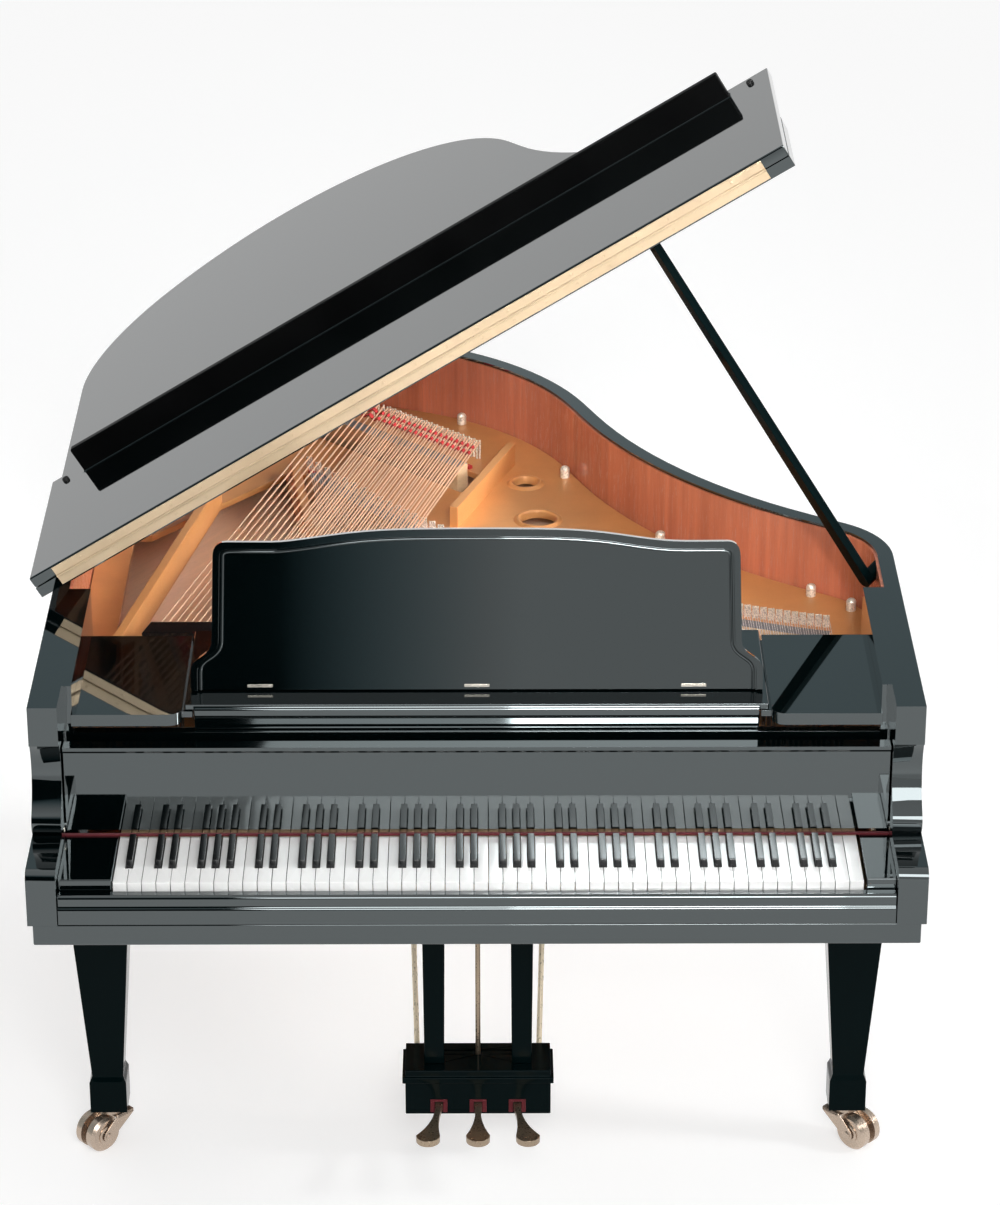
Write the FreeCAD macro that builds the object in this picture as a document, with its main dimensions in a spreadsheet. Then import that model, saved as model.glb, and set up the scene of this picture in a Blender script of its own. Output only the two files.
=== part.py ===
import FreeCAD, Part
import math
import os
import Sketcher
from FreeCAD import Placement, Rotation, Vector

doc = FreeCAD.newDocument("grand_piano")
sheet = doc.addObject("Spreadsheet::Sheet", "Sizes")

# Driving sizes of the piano: lengths in millimetres, turns in degrees, shares as plain numbers
SIZES = {
    # where the case stands in the part's frame
    "case_centre_x": 17.7,
    "case_front_y": -906,
    # clearances
    "slide_gap": 0.3,
    "side_gap": 1,
    "overrun": 10,
    # heights of the stand
    "caster_height": 75,
    "leg_length": 553,
    "keybed_thick": 37,
    # case
    "cheek_tail": 134.2,
    "rim_wall": 28,
    "rim_drop": 20,
    "arm_width": 49,
    "cheek_width": 16,
    "tail_turn": 60,
    "waist_heading": 158.5,
    "shoulder_heading": 124,
    "tail_corner_share": 0.2136,
    "tail_nose_share": 0.3551,
    "tail_shoulder_share": 0.381,
    "tail_flat_share": 0.0476,
    "waist_share": 0.6803,
    "cheek_corner_share": 0.1129,
    # arm profile
    "arm_nose_height": 98,
    "arm_nose_radius": 18,
    "arm_scroll_setback": 134,
    "arm_scroll_height": 38,
    "arm_scroll_bulge": 10,
    "arm_hollow_depth": 20,
    "arm_top_setback": 145,
    "arm_top_height": 70,
    "arm_top_step": 7,
    # keybed, key slip and key blocks
    "keybed_inset": 8,
    "keybed_setback": 2,
    "slip_height": 51,
    "slip_step_height": 28,
    "slip_step": 4,
    "block_rise": 5,
    "bass_block": 90,
    "treble_block": 53,
    "shift_room": 4,
    # inner rim and lining
    "inner_rim_wall": 38,
    "lining_wall": 4,
    "lining_drop": 5,
    "lining_rise": 3,
    # keys
    "key_pitch": 23.6,
    "key_gap": 1,
    "key_setback": 28,
    "key_reach": 150,
    "key_length": 442,
    "key_rise": 42,
    "key_thick": 23,
    "balance_reach": 227,
    "sharp_setback": 50,
    "sharp_length": 96,
    "sharp_width": 10.5,
    "sharp_rise": 12,
    "sharp_slope": 5,
    "sharp_room": 1.2,
    # key frame
    "frame_rail_width": 46,
    "frame_rail_drop": 12,
    "frame_end_width": 30,
    "frame_plate": 9,
    # felt under the fallboard
    "key_felt_depth": 6,
    "key_felt_height": 3,
    # fallboard
    "fallboard_thick": 20,
    "fallboard_height": 154,
    "fallboard_lean": 1,
    "fallboard_foot": 8,
    "fallboard_face": 6,
    "fallboard_pivot_setback": 12,
    "fallboard_pivot_rise": 22,
    "fallboard_bead": 6,
    "pivot_pin_radius": 4,
    "pivot_pin_reach": 8,
    "pivot_room": 0.15,
    # stretcher and pinblock
    "stretcher_gap": 36,
    "stretcher_thick": 20,
    "stretcher_drop": 86,
    "stretcher_rise": 15,
    "hammer_gap": 101,
    "pinblock_thick": 28,
    # sound body
    "action_room": 136,
    "string_rise": 150,
    "string_drop": 110,
    "bass_lift": 13,
    "plate_drop": 22,
    "plate_thick": 12,
    "plate_edge": 2,
    "plate_side": 32,
    "soundboard_drop": 71,
    "soundboard_thick": 9,
    "rib_height": 15,
    "rib_width": 22,
    "belly_rail_thick": 40,
    "beam_width": 60,
    "beam_drop": 26,
    "strike_gap": 66,
    "string_pitch_share": 0.9465,
    "unison_pitch": 4,
    "bass_unison_pitch": 5.6,
    "plain_string": 1.2,
    "bass_string": 3.2,
    "bridge_width": 28,
    "bridge_room": 3,
    "bass_margin": 173,
    "bass_end_margin": 423,
    "tenor_margin": 430,
    "short_string": 112,
    "string_tail": 70,
    "bass_tail": 108,
    "bass_slant_share": 0.28,
    "tenor_slant_share": -0.127,
    "pin_radius": 3.2,
    "pin_height": 30,
    "pin_row_pitch": 40,
    "pin_gap": 276,
    "hitch_radius": 2,
    "agraffe_depth": 8,
    "agraffe_width": 10,
    "agraffe_gap": 114,
    "strut_width": 16,
    "strut_height": 44,
    "low_strut_height": 26,
    "treble_strut_width": 7,
    "plate_hole": 34,
    "small_plate_hole": 24,
    "bolt_radius": 9,
    "bolt_height": 16,
    "felt_width": 9,
    "felt_height": 6,
    # action
    "hammer_width": 8,
    "hammer_pivot_gap": 166,
    "hammer_pivot_drop": 90,
    "hammer_reach": 132,
    "hammer_rise": 51,
    "hammer_head": 26,
    "shank_thick": 7,
    "hammer_butt": 4,
    "hammer_rail_width": 20,
    "hammer_rail_thick": 14,
    "action_post": 20,
    "action_bracket": 8,
    # dampers
    "damper_gap": 14,
    "damper_length": 46,
    "damper_height": 16,
    "damper_side": 4.5,
    "damper_width": 12.4,
    "damper_wire_radius": 1,
    "damper_tray_depth": 24,
    "damper_tray_thick": 14,
    "damper_tray_drop": 128,
    # music desk
    "desk_drop": 40,
    "tray_width": 182,
    "desk_thick": 20,
    "desk_setback": 232,
    "desk_depth": 288,
    "desk_rebate": 16,
    "desk_rail_depth": 20,
    "desk_rail_drop": 25,
    "desk_step": 4,
    "desk_gap": 3,
    "panel_margin": 8,
    "panel_height": 256,
    "panel_thick": 16,
    "panel_lean": 15,
    "panel_pivot_setback": 310,
    "panel_pivot_rise": 12,
    "panel_pivot_back": 10,
    "panel_bead": 5,
    "panel_bead_width": 11,
    "desk_strut_length": 120,
    "desk_strut_width": 40,
    "desk_strut_thick": 8,
    "tray_setback": 200,
    "tray_depth": 300,
    "tray_thick": 21,
    "tray_corner": 22,
    # lid
    "lid_thick": 20,
    "lid_lift": 4,
    "lid_overhang": 12,
    "lid_angle": 31.5,
    "lid_fold_gap": 53,
    "lid_edge_gap": 2.6,
    "lid_hinge_out": 18,
    "lid_hinge_rise": 2,
    "lid_leaf_thick": 1.4,
    "lid_leaf_reach": 48,
    "lid_leaf_length": 120,
    "lid_knuckle": 4,
    "lid_pin": 2,
    "flap_leaf_thick": 1.5,
    "flap_leaf_height": 17,
    "flap_leaf_inset": 45,
    "flap_knuckle": 2.4,
    "flap_pin": 1.2,
    "flap_gap": 0.5,
    "lip_height": 48,
    "lip_thick": 18,
    "lip_setback": 158,
    "lip_inset": 76,
    # prop
    "prop_width": 26,
    "prop_thick": 15,
    "prop_tip_width": 15,
    "prop_drop": 30,
    "prop_side": 50,
    "prop_gap": 36,
    "prop_pin": 4,
    "prop_lug": 13,
    "prop_plate_side": 44,
    "prop_plate_thick": 2,
    "prop_tip_gap": 0.6,
    # legs
    "leg_side": 79,
    "leg_setback": 400,
    "leg_top": 122,
    "leg_neck": 55,
    "leg_spade": 65,
    "leg_spade_height": 60,
    "leg_spade_bevel": 13,
    "rear_leg_x": -330,
    "rear_leg_margin": 370,
    # casters
    "caster_plate_radius": 29,
    "caster_plate_thick": 7,
    "caster_trail": 32,
    "wheel_radius": 33,
    "wheel_width": 18,
    "wheel_round": 5,
    "yoke_web": 12,
    "wheel_gap": 1,
    "axle_radius": 6,
    "axle_room": 0.15,
    "yoke_boss": 14,
    # lyre
    "lyre_setback": 330,
    "lyre_depth": 95,
    "lyre_width": 256,
    "lyre_bottom": 94,
    "lyre_height": 89,
    "lyre_wall": 12,
    "lyre_cap": 12,
    "lyre_cap_lip": 5,
    "post_pitch": 154,
    "post_top": 42,
    "post_foot": 35,
    "post_depth": 30,
    "post_setback": 24,
    "brace_radius": 5,
    "brace_side": 108,
    "brace_splay": 14,
    "brace_back": 190,
    "pedal_pitch": 69,
    "pedal_reach": 125,
    "pedal_toe_width": 42,
    "pedal_neck": 13,
    "pedal_thick": 12,
    "pedal_splay": 18,
    "pedal_rise": 17,
    "slot_width": 30,
    "slot_height": 26,
    "pedal_pivot": 40,
    "pedal_heel": 72,
    "rod_radius": 4.5,
    "rod_room": 2,
    "rod_setback": 62,
    "rod_travel": 5,
}


class Size:
    """A size with its value and the expression that ties it to the sheet."""

    def __init__(self, value, text):
        self.value = float(value)
        self.text = text

    @staticmethod
    def of(other):
        return other if isinstance(other, Size) else Size(other, repr(other))

    def join(self, other, sign, value):
        return Size(value, "(" + self.text + " " + sign + " " + Size.of(other).text + ")")

    def __float__(self):
        return self.value

    def __add__(self, other):
        return self.join(other, "+", self.value + float(other))

    def __radd__(self, other):
        return Size.of(other) + self

    def __sub__(self, other):
        return self.join(other, "-", self.value - float(other))

    def __rsub__(self, other):
        return Size.of(other) - self

    def __mul__(self, other):
        return self.join(other, "*", self.value * float(other))

    def __rmul__(self, other):
        return Size.of(other) * self

    def __truediv__(self, other):
        return self.join(other, "/", self.value / float(other))

    def __neg__(self):
        return Size(-self.value, "(-" + self.text + ")")


def sine(turn):
    """Sine of a turn in degrees, tied to the sheet."""
    return Size(math.sin(math.radians(float(turn))), "sin(" + turn.text + " * 1 deg)")


def cosine(turn):
    """Cosine of a turn in degrees, tied to the sheet."""
    return Size(math.cos(math.radians(float(turn))), "cos(" + turn.text + " * 1 deg)")


class Named:
    """All the sheet's sizes, by name."""


S = Named()
for row, (alias, number) in enumerate(SIZES.items(), start=1):
    sheet.set("A" + str(row), alias)
    sheet.set("B" + str(row), str(number))
    sheet.setAlias("B" + str(row), alias)
doc.recompute()
for alias in SIZES:
    setattr(S, alias, Size(getattr(sheet, alias), "Sizes." + alias))

NATURALS = 52
KEYS = 88
SECTIONS = ((0, 26), (26, 50), (50, 70), (70, 88))
DAMPED_KEYS = 70
OCTAVE = 12
SHARP_STEPS = (1, 4, 6, 9, 11)
SINGLE_STRINGS = 8
SAME_PLACE = 1e-9

sub_parts = []


def bind(thing, path, size):
    """Tie one property of an object to the sheet."""
    thing.setExpression(path, Size.of(size).text)


def keep(thing, label):
    """List an object as a finished sub-part under its own label."""
    thing.Label = label
    sub_parts.append(thing)
    return thing


def box(name, x, y, z):
    """A block between two corners, each axis given as its low and high place."""
    block = doc.addObject("Part::Box", name)
    for prop, axis, (low, high) in zip(("Length", "Width", "Height"), "xyz", (x, y, z)):
        bind(block, prop, high - low)
        bind(block, "Placement.Base." + axis, low)
    return block


TURNS = {"x": Rotation(Vector(0, 1, 0), 90), "y": Rotation(Vector(1, 0, 0), -90), "z": Rotation()}


def rod(name, start, radius, length, along):
    """A round bar from a start point along one axis."""
    bar = doc.addObject("Part::Cylinder", name)
    bar.Placement = Placement(Vector(), TURNS[along])
    bind(bar, "Radius", radius)
    bind(bar, "Height", length)
    for axis, place in zip("xyz", start):
        bind(bar, "Placement.Base." + axis, place)
    return bar


def fuse(name, pieces):
    """One solid made of several pieces."""
    whole = doc.addObject("Part::MultiFuse", name)
    whole.Shapes = pieces
    whole.Refine = True
    return whole


def cut(name, base, tool):
    """One piece with another taken away."""
    rest = doc.addObject("Part::Cut", name)
    rest.Base = base
    rest.Tool = tool
    return rest


def group(name, pieces):
    """Separate solids that share one node."""
    bunch = doc.addObject("Part::Compound", name)
    bunch.Links = pieces
    return bunch


def feature(name, shape, placement=None):
    """A shape that is worked out from the sheet's sizes."""
    thing = doc.addObject("Part::Feature", name)
    thing.Shape = shape
    if placement is not None:
        thing.Placement = placement
    return thing


def origin_plane(body, role):
    return next(plane for plane in body.Origin.OriginFeatures if plane.Role == role)


def polygon_sketch(body, name, role, points):
    """A closed outline of straight lines on one of the body's own planes."""
    sketch = body.newObject("Sketcher::SketchObject", name)
    sketch.AttachmentSupport = [(origin_plane(body, role), "")]
    sketch.MapMode = "FlatFace"
    corners = [Vector(float(a), float(b), 0) for a, b in points]
    count = len(corners)
    for index, corner in enumerate(corners):
        sketch.addGeometry(Part.LineSegment(corner, corners[(index + 1) % count]))
    for index in range(count):
        sketch.addConstraint(Sketcher.Constraint("Coincident", index, 2, (index + 1) % count, 1))
    for index, pair in enumerate(points):
        for kind, place in zip(("DistanceX", "DistanceY"), pair):
            rule = Sketcher.Constraint(kind, -1, 1, index, 1, float(place))
            number = sketch.addConstraint(rule)
            bind(sketch, "Constraints[" + str(number) + "]", place)
    return sketch


def pad_body(name, role, points, depth, base=(0, 0, 0)):
    """A straight-sided outline padded to a depth, in a body of its own."""
    body = doc.addObject("PartDesign::Body", name)
    sketch = polygon_sketch(body, name + "_outline", role, points)
    pad = body.newObject("PartDesign::Pad", name + "_pad")
    pad.Profile = sketch
    bind(pad, "Length", depth)
    for axis, place in zip("xyz", base):
        bind(body, "Placement.Base." + axis, place)
    return body


def taper_body(name, sections, base):
    """A four-sided taper through level sections, each a height, a half width and a half depth."""
    body = doc.addObject("PartDesign::Body", name)
    sketches = []
    for index, (height, half_x, half_y) in enumerate(sections):
        corners = [(-half_x, -half_y), (half_x, -half_y), (half_x, half_y), (-half_x, half_y)]
        sketch = polygon_sketch(body, name + "_section" + str(index), "XY_Plane", corners)
        bind(sketch, "AttachmentOffset.Base.z", height)
        sketches.append(sketch)
    loft = body.newObject("PartDesign::AdditiveLoft", name + "_loft")
    loft.Profile = sketches[0]
    loft.Sections = sketches[1:]
    loft.Ruled = True
    for axis, place in zip("xyz", base):
        bind(body, "Placement.Base." + axis, place)
    return body


def turned_body(name, points, role="XZ_Plane"):
    """A turned piece: an outline of radius and height turned about the upright axis."""
    body = doc.addObject("PartDesign::Body", name)
    sketch = polygon_sketch(body, name + "_outline", role, points)
    turn = body.newObject("PartDesign::Revolution", name + "_turn")
    turn.Profile = sketch
    turn.ReferenceAxis = (sketch, ["V_Axis"])
    turn.Angle = 360
    return body


def wire_of(points):
    """A closed wire: a point is joined by a line, a pair of points by an arc through the first."""
    edges = []
    last = points[0]
    for item in list(points[1:]) + [points[0]]:
        if isinstance(item, tuple):
            edges.append(Part.Arc(last, item[0], item[1]).toShape())
            last = item[1]
        elif not item.isEqual(last, SAME_PLACE):
            edges.append(Part.LineSegment(last, item).toShape())
            last = item
    return Part.Wire(edges)


def prism(wire, travel):
    """A flat outline carried along a straight travel."""
    return Part.Face(wire).extrude(travel)


def flat(points, low, high):
    """A plan outline between two heights."""
    corners = [Vector(x, y, float(low)) for x, y in points]
    return prism(Part.makePolygon(corners + corners[:1]), Vector(0, 0, float(high) - float(low)))


def post(x, y, low, high, radius):
    """An upright round pin between two heights."""
    return Part.makeCylinder(float(radius), float(high) - float(low), Vector(x, y, float(low)))


# Places across the piano
middle = S.case_centre_x
front = S.case_front_y
keyboard_width = NATURALS * S.key_pitch
case_width = keyboard_width + S.bass_block + S.treble_block + 2 * S.arm_width
left_side = middle - case_width / 2
right_side = middle + case_width / 2
left_arm = left_side + S.arm_width
right_arm = right_side - S.arm_width
left_cheek = left_arm + S.cheek_width
right_cheek = right_arm - S.cheek_width
keys_left = left_arm + S.bass_block
keys_right = right_arm - S.treble_block

# Places up the piano
keybed_bottom = S.caster_height + S.leg_length
keybed_top = keybed_bottom + S.keybed_thick
rim_bottom = keybed_top - S.rim_drop
key_bottom = keybed_top + S.key_rise
key_top = key_bottom + S.key_thick
string_level = key_top + S.string_rise
rim_top = string_level + S.string_drop
bass_level = string_level + S.bass_lift
plate_top = string_level - S.plate_drop
plate_bottom = plate_top - S.plate_thick
soundboard_top = string_level - S.soundboard_drop
soundboard_bottom = soundboard_top - S.soundboard_thick
desk_top = rim_top - S.desk_drop
lid_bottom = rim_top + S.lid_lift
lid_top = lid_bottom + S.lid_thick

# Places from front to tail
key_front = front + S.key_setback
felt_front = key_front + S.key_reach
key_back = key_front + S.key_length
arm_end = key_back + S.action_room
strike_line = arm_end - S.strike_gap
cheek_end = arm_end + S.cheek_tail


# Outline of the case: straight spine, rounded tail, hollow waist, rounded cheek, straight treble side
def heading_step(radius, start, end):
    """Travel along an arc that turns to the right from one heading to another, or left if it drops."""
    first = math.radians(start)
    last = math.radians(end)
    sign = 1 if end > start else -1
    across = sign * radius * (math.cos(first) - math.cos(last))
    along = sign * radius * (math.sin(last) - math.sin(first))
    return Vector(across, along, 0)


def outline_runs():
    """The bends of the outline from spine to treble side: radius or length, first and last heading."""
    width = float(case_width)
    waist = float(S.waist_heading)
    shoulder = float(S.shoulder_heading)
    tail = float(S.tail_turn)
    bends = [
        (float(S.tail_corner_share) * width, 0, tail),
        (float(S.tail_nose_share) * width, tail, 90),
        (float(S.tail_shoulder_share) * width, 90, waist),
        (float(S.tail_flat_share) * width, waist, waist),
        (float(S.waist_share) * width, waist, shoulder),
        (0, shoulder, shoulder),
        (float(S.cheek_corner_share) * width, shoulder, 180),
    ]
    done = Vector()
    for size, start, end in bends:
        done = done + run_travel(size, start, end)
    spare = (width - done.x) / math.sin(math.radians(shoulder))
    bends[5] = (spare, shoulder, shoulder)
    return bends


def run_travel(size, start, end):
    if start == end:
        turn = math.radians(start)
        return Vector(math.sin(turn) * size, math.cos(turn) * size, 0)
    return heading_step(size, start, end)


def inward(place, heading, inset):
    turn = math.radians(heading)
    return place + Vector(math.cos(turn), -math.sin(turn), 0) * inset


RUNS = outline_runs()
tail_rise = sum(run_travel(*run).y for run in RUNS[:2])
tail_share = (tail_rise - sum(run_travel(*run).y for run in RUNS)) / float(case_width)
case_tail = cheek_end + tail_share * case_width
case_length = case_tail - front
spine_end = float(case_tail) - tail_rise


def case_edges(inset, start):
    """Edges of the outline, set in from the outside, from the bass front round to the treble front."""
    inset = float(inset)
    place = Vector(float(left_side), spine_end, 0)
    corner = inward(place, 0, inset)
    edges = [Part.LineSegment(Vector(corner.x, float(start), 0), corner).toShape()]
    for size, first, last in RUNS:
        half = (first + last) / 2
        begin = inward(place, first, inset)
        halfway = inward(place + run_travel(size if first != last else size / 2, first, half), half, inset)
        place = place + run_travel(size, first, last)
        end = inward(place, last, inset)
        if first == last:
            edges.append(Part.LineSegment(begin, end).toShape())
        else:
            edges.append(Part.Arc(begin, halfway, end).toShape())
    corner = inward(place, 180, inset)
    edges.append(Part.LineSegment(corner, Vector(corner.x, float(start), 0)).toShape())
    return edges


def case_slab(inset, start, low, high):
    """The whole plan of the case behind a front line, between two heights."""
    edges = case_edges(inset, start)
    ends = (edges[-1].Vertexes[-1].Point, edges[0].Vertexes[0].Point)
    edges.append(Part.LineSegment(*ends).toShape())
    wire = Part.Wire(edges)
    wire.translate(Vector(0, 0, float(low)))
    return prism(wire, Vector(0, 0, float(high) - float(low)))


def case_wall(outer, inner, start, low, high):
    """A wall that follows the outline, between two insets."""
    core = case_slab(inner, start - S.overrun, low - S.overrun, high + S.overrun)
    return case_slab(outer, start, low, high).cut(core)


# Rim with its arms
def arm_shape():
    """Side profile of an arm: nose, ledge, scroll, hollow and square top, padded across the arm."""
    start = float(front)
    base = float(keybed_top)
    nose = float(S.arm_nose_radius)
    ledge = base + float(S.arm_nose_height)
    scroll = start + float(S.arm_scroll_setback)
    scroll_top = ledge + float(S.arm_scroll_height)
    top_face = start + float(S.arm_top_setback)
    top_base = float(rim_top - S.arm_top_height)
    hollow = top_face + float(S.arm_hollow_depth)
    bend = nose * (1 - math.cos(math.radians(45)))
    points = [
        Vector(0, start, base),
        Vector(0, start, ledge - nose),
        (Vector(0, start + bend, ledge - bend), Vector(0, start + nose, ledge)),
        Vector(0, scroll, ledge),
        (
            Vector(0, scroll - float(S.arm_scroll_bulge), (ledge + scroll_top) / 2),
            Vector(0, scroll, scroll_top),
        ),
        (
            Vector(0, hollow, (scroll_top + top_base) / 2),
            Vector(0, top_face + float(S.arm_top_step), top_base),
        ),
        Vector(0, top_face, top_base),
        Vector(0, top_face, float(rim_top)),
        Vector(0, float(arm_end), float(rim_top)),
        Vector(0, float(arm_end), base),
    ]
    return prism(wire_of(points), Vector(float(S.arm_width), 0, 0))


pivot_y = felt_front + S.fallboard_pivot_setback
stretcher_front = pivot_y + S.stretcher_gap
pivot_z = key_top + S.fallboard_pivot_rise
pin_start = {"bass": left_arm, "treble": right_arm - S.pivot_pin_reach}
arm_place = {"bass": left_side, "treble": right_arm}
cheek_span = {"bass": (left_arm, left_cheek), "treble": (right_cheek, right_arm)}

rim_pieces = [feature("bent_wall", case_wall(0, S.rim_wall, arm_end, rim_bottom, rim_top))]
for side in ("bass", "treble"):
    arm = feature("arm_" + side, arm_shape())
    bind(arm, "Placement.Base.x", arm_place[side])
    cheek = box("cheek_" + side, cheek_span[side], (stretcher_front, arm_end), (keybed_top, rim_top))
    pin = rod("pivot_pin_" + side, (pin_start[side], pivot_y, pivot_z),
              S.pivot_pin_radius, S.pivot_pin_reach, "x")
    rim_pieces += [arm, cheek, pin]
keep(fuse("outer_rim_solid", rim_pieces), "outer_rim")

belly_tail = arm_end + S.belly_rail_thick
inner_inset = S.rim_wall + S.inner_rim_wall
lining_inset = S.rim_wall + S.lining_wall
inner_rim = feature(
    "inner_rim_wall_piece",
    case_wall(S.rim_wall, inner_inset, belly_tail, rim_bottom, soundboard_bottom),
)
lining = feature(
    "rim_lining_piece",
    case_wall(S.rim_wall, lining_inset, arm_end, soundboard_top + S.lining_rise, rim_top - S.lining_drop),
)
keep(group("inner_rim_group", [inner_rim, lining]), "inner_rim")

# Keybed, key slip, key blocks and the felt between them
keep(
    box(
        "keybed_board",
        (left_side + S.keybed_inset, right_side - S.keybed_inset),
        (front + S.keybed_setback, arm_end),
        (keybed_bottom, keybed_top),
    ),
    "keybed",
)
slip_front = S.keybed_setback
slip_back = S.key_setback - S.keybed_setback
slip_points = [
    (slip_front, keybed_top),
    (slip_front, keybed_top + S.slip_step_height),
    (slip_front + S.slip_step, keybed_top + S.slip_step_height + S.slip_step),
    (slip_front + S.slip_step, keybed_top + S.slip_height - S.slip_step),
    (slip_front + 2 * S.slip_step, keybed_top + S.slip_height),
    (slip_back, keybed_top + S.slip_height),
    (slip_back, keybed_top),
]
slip_width = right_arm - left_arm - 2 * S.slide_gap
keep(
    pad_body("key_slip_body", "YZ_Plane", slip_points, slip_width, (left_arm + S.slide_gap, front, 0)),
    "key_slip",
)
block_top = key_top + S.block_rise
block_back = felt_front + S.key_felt_depth + S.keybed_setback
block_span = {
    "bass": (left_arm, keys_left - S.side_gap),
    "treble": (keys_right + S.shift_room, right_arm),
}
blocks = []
for side in ("bass", "treble"):
    blocks.append(box("block_" + side, block_span[side], (key_front, block_back), (keybed_top, block_top)))
keep(group("key_block_pair", blocks), "key_blocks")
keep(
    box(
        "key_felt_strip",
        (left_arm + S.slide_gap, right_arm - S.slide_gap),
        (felt_front, felt_front + S.key_felt_depth),
        (block_top, block_top + S.key_felt_height),
    ),
    "key_felt",
)

# Stretcher and pinblock
stretcher_back = stretcher_front + S.stretcher_thick
keep(
    box(
        "stretcher_board",
        (left_cheek, right_cheek),
        (stretcher_front, stretcher_back),
        (key_top + S.stretcher_rise, rim_top - S.stretcher_drop),
    ),
    "stretcher",
)
pinblock_back = arm_end - S.hammer_gap
keep(
    box(
        "pinblock_plank",
        (left_cheek, right_cheek),
        (stretcher_back, pinblock_back),
        (plate_bottom - S.pinblock_thick, plate_bottom),
    ),
    "pinblock",
)

# Back frame: belly rail and three beams that spread towards the tail
belly_rail = box(
    "belly_rail",
    (left_side + S.rim_wall, right_side - S.rim_wall),
    (arm_end, belly_tail),
    (rim_bottom, soundboard_bottom),
)
BEAM_FRONT_SHARES = (-0.3, -0.16, 0.1)
BEAM_TAIL_SHARES = (-0.32, -0.22, -0.06)
beam_room = case_slab(inner_inset, belly_tail, rim_bottom, soundboard_bottom - S.beam_drop)
frame_pieces = [belly_rail]
for number, (near, far) in enumerate(zip(BEAM_FRONT_SHARES, BEAM_TAIL_SHARES)):
    near_x = float(middle + near * case_width)
    far_x = float(middle + far * case_width)
    half = float(S.beam_width) / 2
    near_y = float(belly_tail)
    far_y = float(case_tail)
    plan = [(near_x - half, near_y), (near_x + half, near_y), (far_x + half, far_y), (far_x - half, far_y)]
    beam = flat(plan, rim_bottom, soundboard_bottom - S.beam_drop).common(beam_room)
    frame_pieces.append(feature("beam_" + str(number), beam))
keep(group("back_frame_group", frame_pieces), "back_frame")


# Where the strings, hammers and dampers stand along the strike line
def section_of(key):
    return next(number for number, (low, high) in enumerate(SECTIONS) if low <= key < high)


SECTION_SHIFT_SHARES = (-1.06, 0.5, 0.2, 0)
note_pitch = float(keyboard_width) / KEYS
string_pitch = note_pitch * float(S.string_pitch_share)


def strike_x(key):
    """Sideways place of a note where its hammer meets its strings."""
    number = section_of(key)
    low, high = SECTIONS[number]
    centre = float(keys_left) + note_pitch * (low + high) / 2
    shift = SECTION_SHIFT_SHARES[number] * string_pitch
    return centre + shift + (key + 0.5 - (low + high) / 2) * string_pitch


def slant(key):
    """Sideways run of a note's strings for each millimetre towards the tail."""
    bass_end = SECTIONS[0][1]
    if key < bass_end:
        return float(S.bass_slant_share)
    return float(S.tenor_slant_share) * (1 - (key - bass_end) / (KEYS - bass_end))


def speaking_length(key):
    """Length from the strike line to the bridge, along the piano."""
    bass_end = SECTIONS[0][1]
    room = float(case_tail - strike_line)
    if key < bass_end:
        share = key / (bass_end - 1)
        return room - float(S.bass_margin) - share * float(S.bass_end_margin - S.bass_margin)
    share = (key - bass_end) / (KEYS - 1 - bass_end)
    longest = room - float(S.tenor_margin)
    return longest * (float(S.short_string) / longest) ** share


def string_point(key, reach):
    """Plan place on a note's line, a reach behind the strike line."""
    return strike_x(key) + slant(key) * reach, float(strike_line) + reach


def tail_reach(key):
    tail = S.bass_tail if section_of(key) == 0 else S.string_tail
    return speaking_length(key) + float(tail)


# Soundboard with its ribs
soundboard = feature(
    "soundboard_sheet",
    case_slab(S.rim_wall + S.slide_gap, arm_end, soundboard_bottom, soundboard_top),
)
rib_room = case_slab(
    inner_inset + S.slide_gap, belly_tail + S.slide_gap, soundboard_bottom - S.rib_height, soundboard_bottom
)
RIB_PLACE_SHARES = (0.5, 0.58, 0.66, 0.74, 0.82, 0.9)
RIB_SLANT_SHARE = 0.12
sound_pieces = [soundboard]
for number, share in enumerate(RIB_PLACE_SHARES):
    rib_y = float(front + share * case_length)
    rise = float(RIB_SLANT_SHARE * case_width)
    wide = float(S.rib_width)
    ends = (float(left_side), float(right_side))
    plan = [(ends[0], rib_y - rise), (ends[1], rib_y + rise), (ends[1], rib_y + rise + wide)]
    plan.append((ends[0], rib_y - rise + wide))
    rib = flat(plan, soundboard_bottom - S.rib_height, soundboard_bottom).common(rib_room)
    sound_pieces.append(feature("rib_" + str(number), rib))
keep(group("soundboard_group", sound_pieces), "soundboard")


# Bridges: a long one that follows the ends of the plain strings and a straight one for the bass
def ribbon(points, width, low, high):
    """An upright band of even width that follows a smooth line of plan points."""
    line = Part.BSplineCurve()
    line.interpolate([Vector(x, y, 0) for x, y in points])
    sides = []
    for sign in (1, -1):
        moved = []
        for x, y in points:
            at = line.parameter(Vector(x, y, 0))
            ahead = line.tangent(at)[0]
            moved.append(Vector(x - sign * ahead.y * width / 2, y + sign * ahead.x * width / 2, float(low)))
        side = Part.BSplineCurve()
        side.interpolate(moved)
        sides.append(side)
    ends = [(sides[0].EndPoint, sides[1].EndPoint), (sides[1].StartPoint, sides[0].StartPoint)]
    edges = [sides[0].toShape(), Part.LineSegment(*ends[0]).toShape(), sides[1].toShape()]
    edges.append(Part.LineSegment(*ends[1]).toShape())
    return prism(Part.Wire(Part.__sortEdges__(edges)), Vector(0, 0, float(high) - float(low)))


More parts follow.
